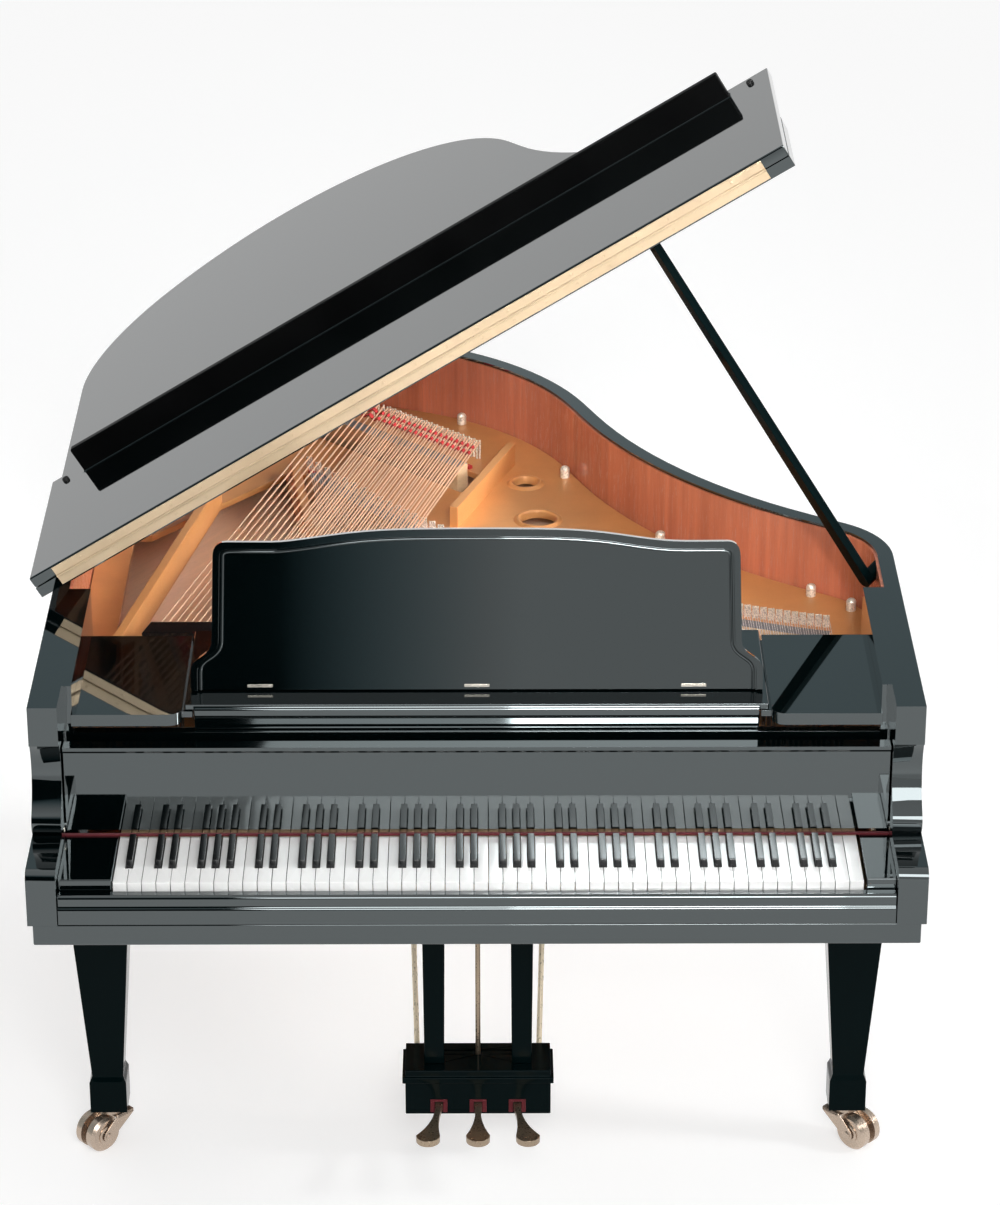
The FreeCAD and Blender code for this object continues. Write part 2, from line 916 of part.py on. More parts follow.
def bar(start, end, width, low, high):
    """A straight upright bar between two plan points."""
    run = Vector(end[0] - start[0], end[1] - start[1], 0)
    side = Vector(-run.y, run.x, 0).normalize() * (float(width) / 2)
    plan = [
        (start[0] + side.x, start[1] + side.y),
        (start[0] - side.x, start[1] - side.y),
        (end[0] - side.x, end[1] - side.y),
        (end[0] + side.x, end[1] + side.y),
    ]
    return flat(plan, low, high)


TREBLE_BREAKS = (50, 70)
STRUT_OVERLAPS = 2


def treble_strut(key, width, low, high):
    """A strut of the plate that runs back between two sections of strings, over the long bridge."""
    near = float(pinblock_back - strike_line) - float(S.strut_width)
    far = speaking_length(key) + STRUT_OVERLAPS * float(S.bridge_width)
    ends = []
    for reach in (near, far):
        one = string_point(key - 1, reach)
        two = string_point(key, reach)
        ends.append(((one[0] + two[0]) / 2, (one[1] + two[1]) / 2))
    return bar(ends[0], ends[1], width, low, high)


LONG_BRIDGE_KEYS = (26, 31, 37, 44, 52, 61, 71, 80, 87)
BASS_BRIDGE_KEYS = (0, 13, 25)
bridge_line = [string_point(key, speaking_length(key)) for key in LONG_BRIDGE_KEYS]
bass_line = [string_point(key, speaking_length(key)) for key in BASS_BRIDGE_KEYS]
long_shape = ribbon(bridge_line, float(S.bridge_width), soundboard_top, string_level - S.bridge_room)
notch_width = S.treble_strut_width + 2 * S.bridge_room
for key in TREBLE_BREAKS:
    long_shape = long_shape.cut(treble_strut(key, notch_width, plate_bottom - S.bridge_room, string_level))
long_bridge = feature("long_bridge", long_shape)
bass_bridge = feature(
    "bass_bridge",
    ribbon(bass_line, float(S.bridge_width), soundboard_top, bass_level - S.bridge_room),
)
keep(group("bridge_pair", [long_bridge, bass_bridge]), "bridges")


# Iron plate: a casting with windows over the soundboard, struts, and two round holes
plate_inset = lining_inset + S.plate_edge
window_front = arm_end + S.plate_edge
BRIDGE_CLEAR_SHARE = 1.3
bridge_clear = BRIDGE_CLEAR_SHARE * float(S.bridge_width)
BASS_FIELD_SHARE = 0.7
plate_left = float(left_cheek + S.plate_side)
plate_right = float(right_cheek - S.plate_side)
LANE_PITCHES = 4
BASS_WINDOW_WIDTHS = 3
string_lane = LANE_PITCHES * float(S.unison_pitch)
tenor_edge = float(S.strut_width)


def plate_windows():
    """Openings of the plate: the hammer gap, the bass corner, the tenor and treble field, the bass bridge."""
    near = float(window_front)
    low = plate_bottom - S.overrun
    high = plate_top + S.overrun
    gap = [(plate_left, float(pinblock_back)), (plate_right, float(pinblock_back))]
    gap += [(plate_right, near), (plate_left, near)]
    rear = [string_point(key, speaking_length(key) + bridge_clear) for key in reversed(LONG_BRIDGE_KEYS)]
    first = string_point(SECTIONS[0][1], 0)
    corner = string_point(SECTIONS[0][1], speaking_length(SECTIONS[0][1]) + bridge_clear)
    lane = string_lane
    field = [(first[0] - lane, near), (rear[0][0] + lane, near)]
    field += [(rear[0][0] + lane, rear[0][1])] + rear[1:] + [(corner[0] - lane, corner[1])]
    strip = 2 * tenor_edge
    bass_rear = string_point(0, speaking_length(SECTIONS[0][1]) * BASS_FIELD_SHARE)
    bass_field = [
        (plate_left, near),
        (first[0] - lane - strip, near),
        (corner[0] - lane - strip, corner[1]),
        (plate_left + strip, bass_rear[1]),
        (plate_left, bass_rear[1]),
    ]
    shapes = [flat(field, low, high), flat(bass_field, low, high), flat(gap, low, high)]
    ends = [string_point(key, speaking_length(key)) for key in (BASS_BRIDGE_KEYS[0], BASS_BRIDGE_KEYS[-1])]
    run = Vector(ends[1][0] - ends[0][0], ends[1][1] - ends[0][1], 0).normalize() * bridge_clear
    ends = [(ends[0][0] - run.x, ends[0][1] - run.y), (ends[1][0] + run.x, ends[1][1] + run.y)]
    shapes.append(bar(ends[0], ends[1], BASS_WINDOW_WIDTHS * S.bridge_width, low, high))
    return shapes


def share_point(across, along):
    """Plan place as shares of the case's width, from its middle, and of its length, from its front."""
    return float(middle + across * case_width), float(front + along * case_length)


LEFT_STRUT_SHARES = ((-0.437, 0.29), (-0.335, 0.71))
RIGHT_STRUT_SHARES = ((-0.03, 0.64), (0.045, 0.81))
HOLE_SHARES = ((0.063, 0.757), (0.078, 0.662))


def plate_shape():
    """The casting in one solid."""
    near = float(stretcher_back + S.plate_edge)
    sides = (float(left_cheek + S.side_gap), float(right_cheek - S.side_gap))
    plan = [(sides[0], near), (sides[1], near), (sides[1], float(arm_end)), (sides[0], float(arm_end))]
    rear = case_slab(plate_inset, arm_end, plate_bottom, plate_top)
    body = flat(plan, plate_bottom, plate_top).fuse(rear)
    for window in plate_windows():
        body = body.cut(window)
    tall = plate_top + S.strut_height
    raised = [
        bar(*(share_point(*pair) for pair in LEFT_STRUT_SHARES), S.strut_width, plate_bottom, tall),
        bar(*(share_point(*pair) for pair in RIGHT_STRUT_SHARES), S.strut_width, plate_bottom, tall),
    ]
    first = string_point(SECTIONS[0][1], 0)
    corner = string_point(SECTIONS[0][1], speaking_length(SECTIONS[0][1]) + bridge_clear)
    lane = string_lane + tenor_edge
    raised.append(
        bar(
            (first[0] - lane, float(window_front + S.strut_width)),
            (corner[0] - lane, corner[1]),
            S.strut_width,
            plate_bottom,
            plate_top + S.low_strut_height,
        )
    )
    for key in TREBLE_BREAKS:
        raised.append(treble_strut(key, S.treble_strut_width, plate_bottom, tall))
    body = body.fuse(raised).removeSplitter()
    for radius, pair in zip((S.small_plate_hole, S.plate_hole), HOLE_SHARES):
        x, y = share_point(*pair)
        body = body.cut(post(x, y, plate_bottom - S.overrun, plate_top + S.overrun, radius))
    return body.common(case_slab(plate_inset, stretcher_back, plate_bottom - S.overrun, rim_top))


keep(feature("plate_casting", plate_shape()), "iron_plate")


def bolt_spots():
    """Places of the plate's bolts: the middle of each bend of the outline, set in from the plate's edge."""
    inset = float(plate_inset + 2 * S.bolt_radius)
    place = Vector(float(left_side), spine_end, 0)
    for size, first, last in RUNS:
        half = (first + last) / 2
        travel = run_travel(size if first != last else size / 2, first, half)
        yield inward(place + travel, half, inset)
        place = place + run_travel(size, first, last)


# Strings, tuning pins, agraffes and hitch pins
def unison(key):
    """How many strings a note has."""
    if key < SINGLE_STRINGS:
        return 1
    return 2 if section_of(key) == 0 else 3


PIN_ROWS = 3


def pin_reach(key, number):
    """Distance of a tuning pin in front of the strike line."""
    row = (key + number) % PIN_ROWS
    return float(S.strike_gap - S.pin_gap) + row * float(S.pin_row_pitch)


def string_lines(key):
    """Sideways offsets and pin reaches of one note's strings."""
    count = unison(key)
    pitch = float(S.bass_unison_pitch if section_of(key) == 0 else S.unison_pitch)
    for number in range(count):
        yield (number - (count - 1) / 2) * pitch, pin_reach(key, number)


def string_shape(key, offset, start_reach):
    low = section_of(key) == 0
    thick = float(S.bass_string if low else S.plain_string)
    level = float(bass_level if low else string_level)
    near = string_point(key, start_reach + float(S.pin_radius) + float(S.slide_gap))
    far = string_point(key, tail_reach(key) - float(S.hitch_radius) - float(S.slide_gap))
    start = Vector(near[0] + offset, near[1], level)
    run = Vector(far[0] + offset, far[1], level) - start
    return Part.makeCylinder(thick / 2, run.Length, start, run)


strings = {True: [], False: []}
pins = []
terminals = []
for key in range(KEYS):
    is_bass = section_of(key) == 0
    level = bass_level if is_bass else string_level
    thick = S.bass_string if is_bass else S.plain_string
    pin_top = level - S.plate_drop + S.pin_height
    for offset, reach in string_lines(key):
        strings[is_bass].append(string_shape(key, offset, reach))
        x, y = string_point(key, reach)
        pins.append(post(x + offset, y, plate_top, pin_top, S.pin_radius))
        x, y = string_point(key, tail_reach(key))
        terminals.append(post(x + offset, y, plate_top, level + thick, S.hitch_radius))
    x, y = string_point(key, float(S.strike_gap - S.agraffe_gap))
    half = float(S.agraffe_width) / 2
    deep = float(S.agraffe_depth)
    plan = [(x - half, y), (x + half, y), (x + half, y + deep), (x - half, y + deep)]
    terminals.append(flat(plan, plate_top, level - thick / 2 - S.slide_gap))
for spot in bolt_spots():
    terminals.append(post(spot.x, spot.y, plate_top, plate_top + S.bolt_height, S.bolt_radius))
keep(feature("bass_string_set", Part.makeCompound(strings[True])), "bass_strings")
keep(feature("plain_string_set", Part.makeCompound(strings[False])), "plain_strings")
keep(feature("tuning_pin_set", Part.makeCompound(pins)), "tuning_pins")
keep(feature("terminal_set", Part.makeCompound(terminals)), "plate_fittings")

FELT_KEYS = (BASS_BRIDGE_KEYS, LONG_BRIDGE_KEYS[:4])
FELT_PLACE_SHARE = 0.28
felts = []
for keys in FELT_KEYS:
    line = []
    for key in keys:
        near = speaking_length(key) + bridge_clear
        line.append(string_point(key, near + FELT_PLACE_SHARE * (tail_reach(key) - near)))
    felts.append(ribbon(line, float(S.felt_width), plate_top, plate_top + S.felt_height))
keep(feature("felt_strips", Part.makeCompound(felts)), "string_felt")


# Keys: naturals with their cut-outs, sharps with their raised caps, in groups of neighbours
def key_kind(key):
    """True for a sharp, counting from the lowest note."""
    return key % OCTAVE in SHARP_STEPS


def natural_index(key):
    return sum(1 for number in range(key) if not key_kind(number))


def sharp_centre(key):
    return float(keys_left) + natural_index(key) * float(S.key_pitch)


def natural_shape(key):
    """A natural: full width in front, cut back beside its sharps."""
    left = float(keys_left) + natural_index(key) * float(S.key_pitch) + float(S.key_gap) / 2
    right = left + float(S.key_pitch) - float(S.key_gap)
    near = float(key_front)
    far = near + float(S.key_length)
    notch = near + float(S.sharp_setback) - float(S.sharp_room)
    room = float(S.sharp_width) / 2 + float(S.sharp_room)
    back_left = left
    back_right = right
    if key > 0 and key_kind(key - 1):
        back_left = sharp_centre(key - 1) + room
    if key < KEYS - 1 and key_kind(key + 1):
        back_right = sharp_centre(key + 1) - room
    plan = [(left, near), (right, near), (right, notch), (back_right, notch), (back_right, far)]
    plan += [(back_left, far), (back_left, notch), (left, notch)]
    clean = [spot for number, spot in enumerate(plan) if spot != plan[number - 1]]
    return flat(clean, key_bottom, key_top)


def sharp_shape(key):
    """A sharp: a stick with a raised cap that slopes at its front."""
    left = sharp_centre(key) - float(S.sharp_width) / 2
    near = float(key_front + S.sharp_setback)
    far = float(key_front + S.key_length)
    cap_back = near + float(S.sharp_length)
    low = float(key_bottom)
    level = float(key_top) - float(S.side_gap)
    top = float(key_top + S.sharp_rise)
    slope = float(S.sharp_slope)
    side = [(near, low), (near, level), (near + slope, top), (cap_back, top), (cap_back, level)]
    side += [(far, level), (far, low)]
    corners = [Vector(left, y, z) for y, z in side]
    return prism(Part.makePolygon(corners + corners[:1]), Vector(float(S.sharp_width), 0, 0))


KEY_GROUPS = {"naturals_a": [], "naturals_b": [], "sharps_a": [], "sharps_b": []}
counts = {True: 0, False: 0}
for key in range(KEYS):
    is_sharp = key_kind(key)
    name = ("sharps_" if is_sharp else "naturals_") + "ab"[counts[is_sharp] % 2]
    KEY_GROUPS[name].append(key)
    counts[is_sharp] += 1
for name, keys in KEY_GROUPS.items():
    solids = [sharp_shape(key) if key_kind(key) else natural_shape(key) for key in keys]
    keep(feature(name + "_set", Part.makeCompound(solids)), name)

# Key frame: front, balance and back rails on end pieces
frame_base = keybed_top + S.slide_gap
frame_left = keys_left
frame_right = keys_right
rail_half = S.frame_rail_width / 2
balance_y = key_front + S.balance_reach
frame_top = key_bottom - S.slide_gap
rail_span = (frame_left, frame_right)
rail_front = key_front + S.frame_plate
front_rail = box("front_rail", rail_span, (rail_front, rail_front + S.frame_rail_width),
                 (frame_base, key_bottom - S.frame_rail_drop))
balance_rail = box("balance_rail", rail_span, (balance_y - rail_half / 2, balance_y + rail_half / 2),
                   (frame_base, frame_top - S.slide_gap))
back_rail = box("back_rail", rail_span, (key_back - S.frame_rail_width, key_back + S.frame_rail_width),
                (frame_base, frame_top))
frame_depth = (rail_front, key_back + S.frame_rail_width)
FRAME_STRIPS = 5
frame_pieces = [front_rail, balance_rail, back_rail]
for number in range(FRAME_STRIPS):
    start = frame_left + (frame_right - frame_left - S.frame_end_width) * number / (FRAME_STRIPS - 1)
    frame_pieces.append(box("frame_end_" + str(number), (start, start + S.frame_end_width), frame_depth,
                            (frame_base, frame_base + S.frame_plate)))
keep(fuse("key_frame_solid", frame_pieces), "key_frame")

# Hammers and the frame that carries them
hammer_y = arm_end - S.hammer_pivot_gap
hammer_z = string_level - S.hammer_pivot_drop
HEAD_TAPER_SHARE = 0.25
HEAD_SHOULDER_SHARE = 0.6


def hammer_shape(key):
    """A hammer: a shank from its pivot to a tall head."""
    left = strike_x(key) - float(S.hammer_width) / 2
    y = float(hammer_y)
    z = float(hammer_z)
    half = float(S.shank_thick) / 2
    reach = float(S.hammer_reach)
    head = reach - float(S.hammer_head)
    rise = float(S.hammer_rise)
    butt = float(S.hammer_butt)
    taper = float(S.hammer_head) * HEAD_TAPER_SHARE
    shoulder = rise * HEAD_SHOULDER_SHARE
    side = [(-butt, -half), (reach, -half), (reach, shoulder), (reach - taper, rise), (head + taper, rise)]
    side += [(head, shoulder), (head + butt, half), (-butt, half)]
    corners = [Vector(left, y + along, z + up) for along, up in side]
    return prism(Part.makePolygon(corners + corners[:1]), Vector(float(S.hammer_width), 0, 0))


for name, keys in KEY_GROUPS.items():
    solids = [hammer_shape(key) for key in keys]
    keep(feature("hammer_" + name + "_set", Part.makeCompound(solids)), "hammers_" + name)

rail_top = hammer_z - S.shank_thick / 2 - S.slide_gap
hammer_rail = box("hammer_rail", rail_span, (hammer_y, hammer_y + S.hammer_rail_width),
                  (rail_top - S.hammer_rail_thick, rail_top))
post_front = key_back + S.action_post / 2
action_pieces = [hammer_rail]
for number in range(FRAME_STRIPS):
    start = frame_left + (frame_right - frame_left - S.action_bracket) * number / (FRAME_STRIPS - 1)
    span = (start, start + S.action_bracket)
    post_depth = (post_front, post_front + S.action_post)
    action_pieces.append(box("action_post_" + str(number), span, post_depth, (frame_top, rail_top)))
    action_pieces.append(box("action_arm_" + str(number), span, (hammer_y, post_front + S.action_post),
                             (rail_top - S.hammer_rail_thick, rail_top)))
keep(fuse("action_frame_solid", action_pieces), "action_frame")

# Dampers: a head on each note's strings, with its wire, on one lifting tray
damper_y = arm_end - S.damper_gap
tray_top = string_level - S.damper_tray_drop + S.damper_tray_thick
wire_y = float(damper_y) + 2 * float(S.damper_wire_radius)
TRAY_BACK_SHARE = 0.4
tray_back_y = wire_y + TRAY_BACK_SHARE * float(S.damper_tray_depth)
tray_front_y = tray_back_y - float(S.damper_tray_depth)
tray_ends = (float(keys_left), float(keys_right))
tray_plan = [(x, y) for x, y in zip(tray_ends, (tray_front_y, tray_front_y))]
tray_plan += [(x, y) for x, y in zip(reversed(tray_ends), (tray_back_y, tray_back_y))]
damper_tray_shape = flat(tray_plan, tray_top - S.damper_tray_thick, tray_top)
damper_solid = [damper_tray_shape]
for key in range(DAMPED_KEYS):
    is_bass = section_of(key) == 0
    thick = S.bass_string if is_bass else S.plain_string
    base = (bass_level if is_bass else string_level) + thick / 2 + S.slide_gap
    near = string_point(key, float(damper_y - strike_line))
    far = string_point(key, float(damper_y + S.damper_length - strike_line))
    side = float(S.damper_side)
    wide = float(S.damper_width)
    plan = [(near[0] - side, near[1]), (near[0] - side + wide, near[1])]
    plan += [(far[0] - side + wide, far[1]), (far[0] - side, far[1])]
    damper_solid.append(flat(plan, base, base + S.damper_height))
    wire_x = near[0] + string_pitch / 2
    damper_solid.append(post(wire_x, wire_y, tray_top - S.side_gap, base + S.damper_height / 2,
                             S.damper_wire_radius))
whole = damper_solid[0].fuse(damper_solid[1:])
keep(feature("damper_set", whole), "dampers")

# Fallboard: a leaning board with a bead along its top, bored for the two pivot pins
lean_sin = sine(S.fallboard_lean)
lean_cos = cosine(S.fallboard_lean)


def fall_point(out, up):
    """Side place on the fallboard: out from its pivot towards the front, and up its face."""
    return up * lean_sin - out * lean_cos, up * lean_cos + out * lean_sin


fall_top = S.fallboard_height - S.fallboard_foot
fall_back = S.fallboard_face - S.fallboard_thick
fall_points = [
    fall_point(S.fallboard_face, -S.fallboard_foot),
    fall_point(S.fallboard_face, fall_top - 2 * S.fallboard_bead),
    fall_point(S.fallboard_face + S.fallboard_bead, fall_top - S.fallboard_bead),
    fall_point(S.fallboard_face + S.fallboard_bead, fall_top),
    fall_point(fall_back, fall_top),
    fall_point(fall_back, -S.fallboard_foot),
]
FALL_GAP_SHARE = 0.25
fall_gap = S.pivot_pin_reach * FALL_GAP_SHARE
fall_left = left_arm + fall_gap
fall_width = right_arm - left_arm - 2 * fall_gap
fall_board = pad_body("fallboard_body", "YZ_Plane", fall_points, fall_width, (fall_left, pivot_y, pivot_z))
bores = []
for side in ("bass", "treble"):
    start = pin_start[side] - S.side_gap
    bores.append(rod("pivot_bore_" + side, (start, pivot_y, pivot_z), S.pivot_pin_radius + S.pivot_room,
                     S.pivot_pin_reach + 2 * S.side_gap, "x"))
keep(cut("fallboard_bored", fall_board, group("pivot_bores", bores)), "fallboard")

# Music desk: shelf with a rebate on each side, trays with a ledge under the rebate
desk_left = left_cheek + S.tray_width + S.desk_gap
desk_right = right_cheek - S.tray_width - S.desk_gap
desk_width = desk_right - desk_left
desk_front = front + S.desk_setback
desk_base = desk_top - S.desk_thick
rebate_base = desk_top - S.desk_thick / 2
shelf_points = [
    (S.desk_step, desk_base - S.desk_rail_drop),
    (S.desk_step, desk_base - S.desk_step),
    (0, desk_base),
    (0, desk_top - 2 * S.desk_step),
    (S.desk_step, desk_top - S.desk_step),
    (S.desk_step, desk_top),
    (S.desk_depth, desk_top),
    (S.desk_depth, desk_base),
    (S.desk_rail_depth, desk_base),
    (S.desk_rail_depth, desk_base - S.desk_rail_drop),
]
shelf_body = pad_body("desk_shelf_body", "YZ_Plane", shelf_points, desk_width - 2 * S.desk_rebate,
                      (desk_left + S.desk_rebate, desk_front, 0))
wing_depth = (desk_front + S.desk_step, desk_front + S.desk_depth)
wings = []
for number, start in enumerate((desk_left, desk_right - S.desk_rebate)):
    wings.append(box("desk_wing_" + str(number), (start, start + S.desk_rebate), wing_depth,
                     (rebate_base, desk_top)))
keep(fuse("desk_shelf_solid", [shelf_body] + wings), "desk_shelf")

tray_front = front + S.tray_setback
tray_back = tray_front + S.tray_depth
tray_height = (desk_top - S.tray_thick, desk_top)
tray_pieces = []
ledge_top = rebate_base - S.slide_gap
for side in ("bass", "treble"):
    sign = -1 if side == "bass" else 1
    edge = desk_left if side == "bass" else desk_right
    wall = left_cheek if side == "bass" else right_cheek
    inner = edge + sign * S.desk_gap
    ledge = edge - sign * (S.desk_rebate - S.desk_gap)
    span = (wall, inner) if side == "bass" else (inner, wall)
    board = box("tray_board_" + side, span, (tray_front, tray_back), tray_height)
    corner_x = inner + sign * S.tray_corner
    corner_y = tray_front + S.tray_corner
    corner_span = (corner_x, inner) if side == "bass" else (inner, corner_x)
    corner = box("tray_corner_" + side, corner_span, (tray_front, corner_y), tray_height)
    quarter = rod("tray_round_" + side, (corner_x, corner_y, tray_height[0]), S.tray_corner, S.tray_thick, "z")
    rounded = cut("tray_rounded_" + side, board, cut("tray_waste_" + side, corner, quarter))
    ledge_span = (inner, ledge) if side == "bass" else (ledge, inner)
    strip = box("tray_ledge_" + side, ledge_span, (desk_front, tray_back), (tray_height[0], ledge_top))
    tray_pieces.append(fuse("tray_" + side, [rounded, strip]))
keep(group("tray_pair", tray_pieces), "side_trays")

# Desk panel: flared foot, rounded shoulders, arched top, a bead round its face
panel_pivot_y = front + S.panel_pivot_setback
panel_pivot_z = desk_top + S.panel_pivot_rise
panel_foot = (S.panel_pivot_rise - S.slide_gap) / cosine(S.panel_lean) + S.panel_pivot_back * sine(
    S.panel_lean) / cosine(S.panel_lean)
panel_width = desk_width - 2 * S.panel_margin
FOOT_HALF_SHARE = 0.5
NECK_HALF_SHARE = 0.4625
SHOULDER_HALF_SHARE = 0.459
CREST_SHARES = ((0.435, 0.918), (0.33, 0.922), (0.22, 0.975), (0.08, 1.0))
FOOT_RISE_SHARE = 0.06
FLARE_SHARE = 0.27
SHOULDER_SHARE = 0.82


def panel_half(inset):
    """Right half of the panel's outline, from foot to crest, set in by a margin."""
    wide = float(panel_width)
    tall = float(S.panel_height)
    foot_x = FOOT_HALF_SHARE * wide - inset
    neck_x = NECK_HALF_SHARE * wide - inset
    shoulder_x = SHOULDER_HALF_SHARE * wide - inset
    flare = (FOOT_RISE_SHARE * tall, FLARE_SHARE * tall)
    crest = [(across * wide, up * tall - inset) for across, up in CREST_SHARES]
    crest[0] = (crest[0][0] - inset, crest[0][1])
    return foot_x, neck_x, shoulder_x, flare, crest


def panel_wire(inset, foot):
    """Closed outline of the panel's back, set in from its sides and top."""
    foot_x, neck_x, shoulder_x, flare, crest = panel_half(inset)
    shoulder_y = SHOULDER_SHARE * float(S.panel_height)
    mid_flare = ((foot_x + neck_x) / 2, (flare[0] + flare[1]) / 2)
    right = Part.BSplineCurve()
    right.interpolate(
        [Vector(foot_x, flare[0], 0), Vector(mid_flare[0], mid_flare[1], 0), Vector(neck_x, flare[1], 0)],
        InitialTangent=Vector(0, 1, 0),
        FinalTangent=Vector(0, 1, 0),
    )
    corner = Part.BSplineCurve()
    corner.interpolate(
        [Vector(shoulder_x, shoulder_y, 0), Vector(crest[0][0], crest[0][1], 0)],
        InitialTangent=Vector(0, 1, 0),
        FinalTangent=Vector(-1, 0, 0),
    )
    arch = Part.BSplineCurve()
    spots = [Vector(x, y, 0) for x, y in crest] + [Vector(-x, y, 0) for x, y in reversed(crest)]
    arch.interpolate(spots, InitialTangent=Vector(-1, 0, 0), FinalTangent=Vector(-1, 0, 0))
    half = [
        Part.LineSegment(Vector(foot_x, foot, 0), Vector(foot_x, flare[0], 0)).toShape(),
        right.toShape(),
        Part.LineSegment(Vector(neck_x, flare[1], 0), Vector(shoulder_x, shoulder_y, 0)).toShape(),
        corner.toShape(),
    ]
    flip = FreeCAD.Matrix(-1, 0, 0, 0, 0, 1, 0, 0, 0, 0, 1, 0, 0, 0, 0, 1)
    other = [edge.transformGeometry(flip) for edge in half]
    base = Part.LineSegment(Vector(-foot_x, foot, 0), Vector(foot_x, foot, 0)).toShape()
    wire = Part.Wire(Part.__sortEdges__([base] + half + [arch.toShape()] + other))
    wire.translate(Vector(0, 0, float(S.panel_pivot_back)))
    return wire


def panel_shape():
    """The panel lying on its back: board, and a bead that stands proud round its sides and top."""
    foot = -float(panel_foot)
    thick = float(S.panel_thick)
    board = prism(panel_wire(0, foot), Vector(0, 0, thick - float(S.panel_bead)))
    outer = prism(panel_wire(0, foot), Vector(0, 0, thick))
    inner = prism(panel_wire(float(S.panel_bead_width), foot - float(S.overrun)), Vector(0, 0, thick))
    return board.fuse(outer.cut(inner)).removeSplitter()


panel_turn = Rotation(Vector(1, 0, 0), 90 - float(S.panel_lean))
panel_place = Placement(Vector(float(middle), float(panel_pivot_y), float(panel_pivot_z)), panel_turn)
keep(feature("desk_panel_board", panel_shape(), panel_place), "desk_panel")

strut_eye = S.panel_pivot_back - S.slide_gap
strut_foot = S.panel_pivot_rise - S.slide_gap
strut_half = S.desk_strut_width / 2
strut_bar = box("desk_strut_bar", (-strut_half, strut_half), (-S.desk_strut_length, 0 * strut_half),
                (-S.desk_strut_thick / 2, S.desk_strut_thick / 2))
strut_top = rod("desk_strut_eye", (-strut_half, 0, 0), strut_eye, S.desk_strut_width, "x")
strut_end = rod("desk_strut_foot", (-strut_half, -S.desk_strut_length, 0), strut_foot,
                S.desk_strut_width, "x")
desk_strut = fuse("desk_strut_solid", [strut_bar, strut_top, strut_end])
strut_lean = math.radians(float(S.panel_lean))
strut_reach = float(S.desk_strut_length)
strut_y = float(panel_pivot_y) + strut_reach * math.sin(strut_lean)
strut_z = float(panel_pivot_z) + strut_reach * math.cos(strut_lean)
desk_strut.Placement = Placement(
    Vector(float(middle), strut_y, strut_z), Rotation(Vector(1, 0, 0), 90 + float(S.panel_lean))
)
keep(desk_strut, "desk_strut")

# Lid in its closed place, then opened about its hinge line at the spine
hinge_x = left_side - S.lid_hinge_out
hinge_z = rim_top + S.lid_hinge_rise
fold_y = arm_end - S.lid_fold_gap
fold_z = lid_top + S.flap_gap


def turned_about(point, axis, turn):
    spin = Rotation(axis, turn)
    return Placement(point - spin.multVec(point), spin)


lid_open = turned_about(Vector(float(hinge_x), 0, float(hinge_z)), Vector(0, -1, 0), float(S.lid_angle))
flap_fold = turned_about(Vector(0, float(fold_y), float(fold_z)), Vector(-1, 0, 0), 180)
flap_open = lid_open.multiply(flap_fold)

main_shape = case_slab(-float(S.lid_overhang), fold_y + S.lid_edge_gap, lid_bottom, lid_top)
keep(feature("lid_board", main_shape, lid_open), "lid_main")

lid_left = left_side - S.lid_overhang
lid_right = right_side + S.lid_overhang
lid_front = front + S.arm_top_setback - S.lid_overhang
flap_board = box("flap_board", (lid_left, lid_right), (lid_front, fold_y - S.lid_edge_gap),
                 (lid_bottom, lid_top))
lip_front = front + S.lip_setback
lip_span = (lid_left + S.lip_inset, lid_right - S.lip_inset)
lip = box("flap_lip", lip_span, (lip_front, lip_front + S.lip_thick), (lid_bottom - S.lip_height, lid_bottom))
flap = fuse("lid_flap_solid", [flap_board, lip])
flap.Placement = flap_open
keep(flap, "lid_flap")

# Long hinge between lid and flap: two leaves with knuckles that take turns along one pin
FLAP_KNUCKLES = 15
leaf_left = lid_left + S.flap_leaf_inset
leaf_right = lid_right - S.flap_leaf_inset
leaf_span = leaf_right - leaf_left
knuckle_length = leaf_span / FLAP_KNUCKLES
leaf_low = lid_top - S.flap_leaf_height


def flap_leaf(name, edge, numbers):
    """A leaf on one edge of the fold with every other knuckle."""
    pieces = [box(name + "_plate", (leaf_left, leaf_right), edge, (leaf_low, fold_z))]
    for number in numbers:
        start = leaf_left + knuckle_length * number + S.slide_gap
        pieces.append(rod(name + "_knuckle" + str(number), (start, fold_y, fold_z), S.flap_knuckle,
                          knuckle_length - 2 * S.slide_gap, "x"))
    return pieces


lid_edge = (fold_y + S.lid_edge_gap - S.flap_leaf_thick, fold_y + S.lid_edge_gap)
flap_edge = (fold_y - S.lid_edge_gap, fold_y - S.lid_edge_gap + S.flap_leaf_thick)
lid_numbers = range(0, FLAP_KNUCKLES, 2)
flap_numbers = range(1, FLAP_KNUCKLES, 2)


def knuckle_gaps(name, numbers):
    """Room in one leaf for the other leaf's knuckles."""
    rooms = []
    for number in numbers:
        start = leaf_left + knuckle_length * number
        rooms.append(rod(name + str(number), (start, fold_y, fold_z), S.flap_knuckle + S.slide_gap,
                         knuckle_length, "x"))
    return group(name + "_set", rooms)


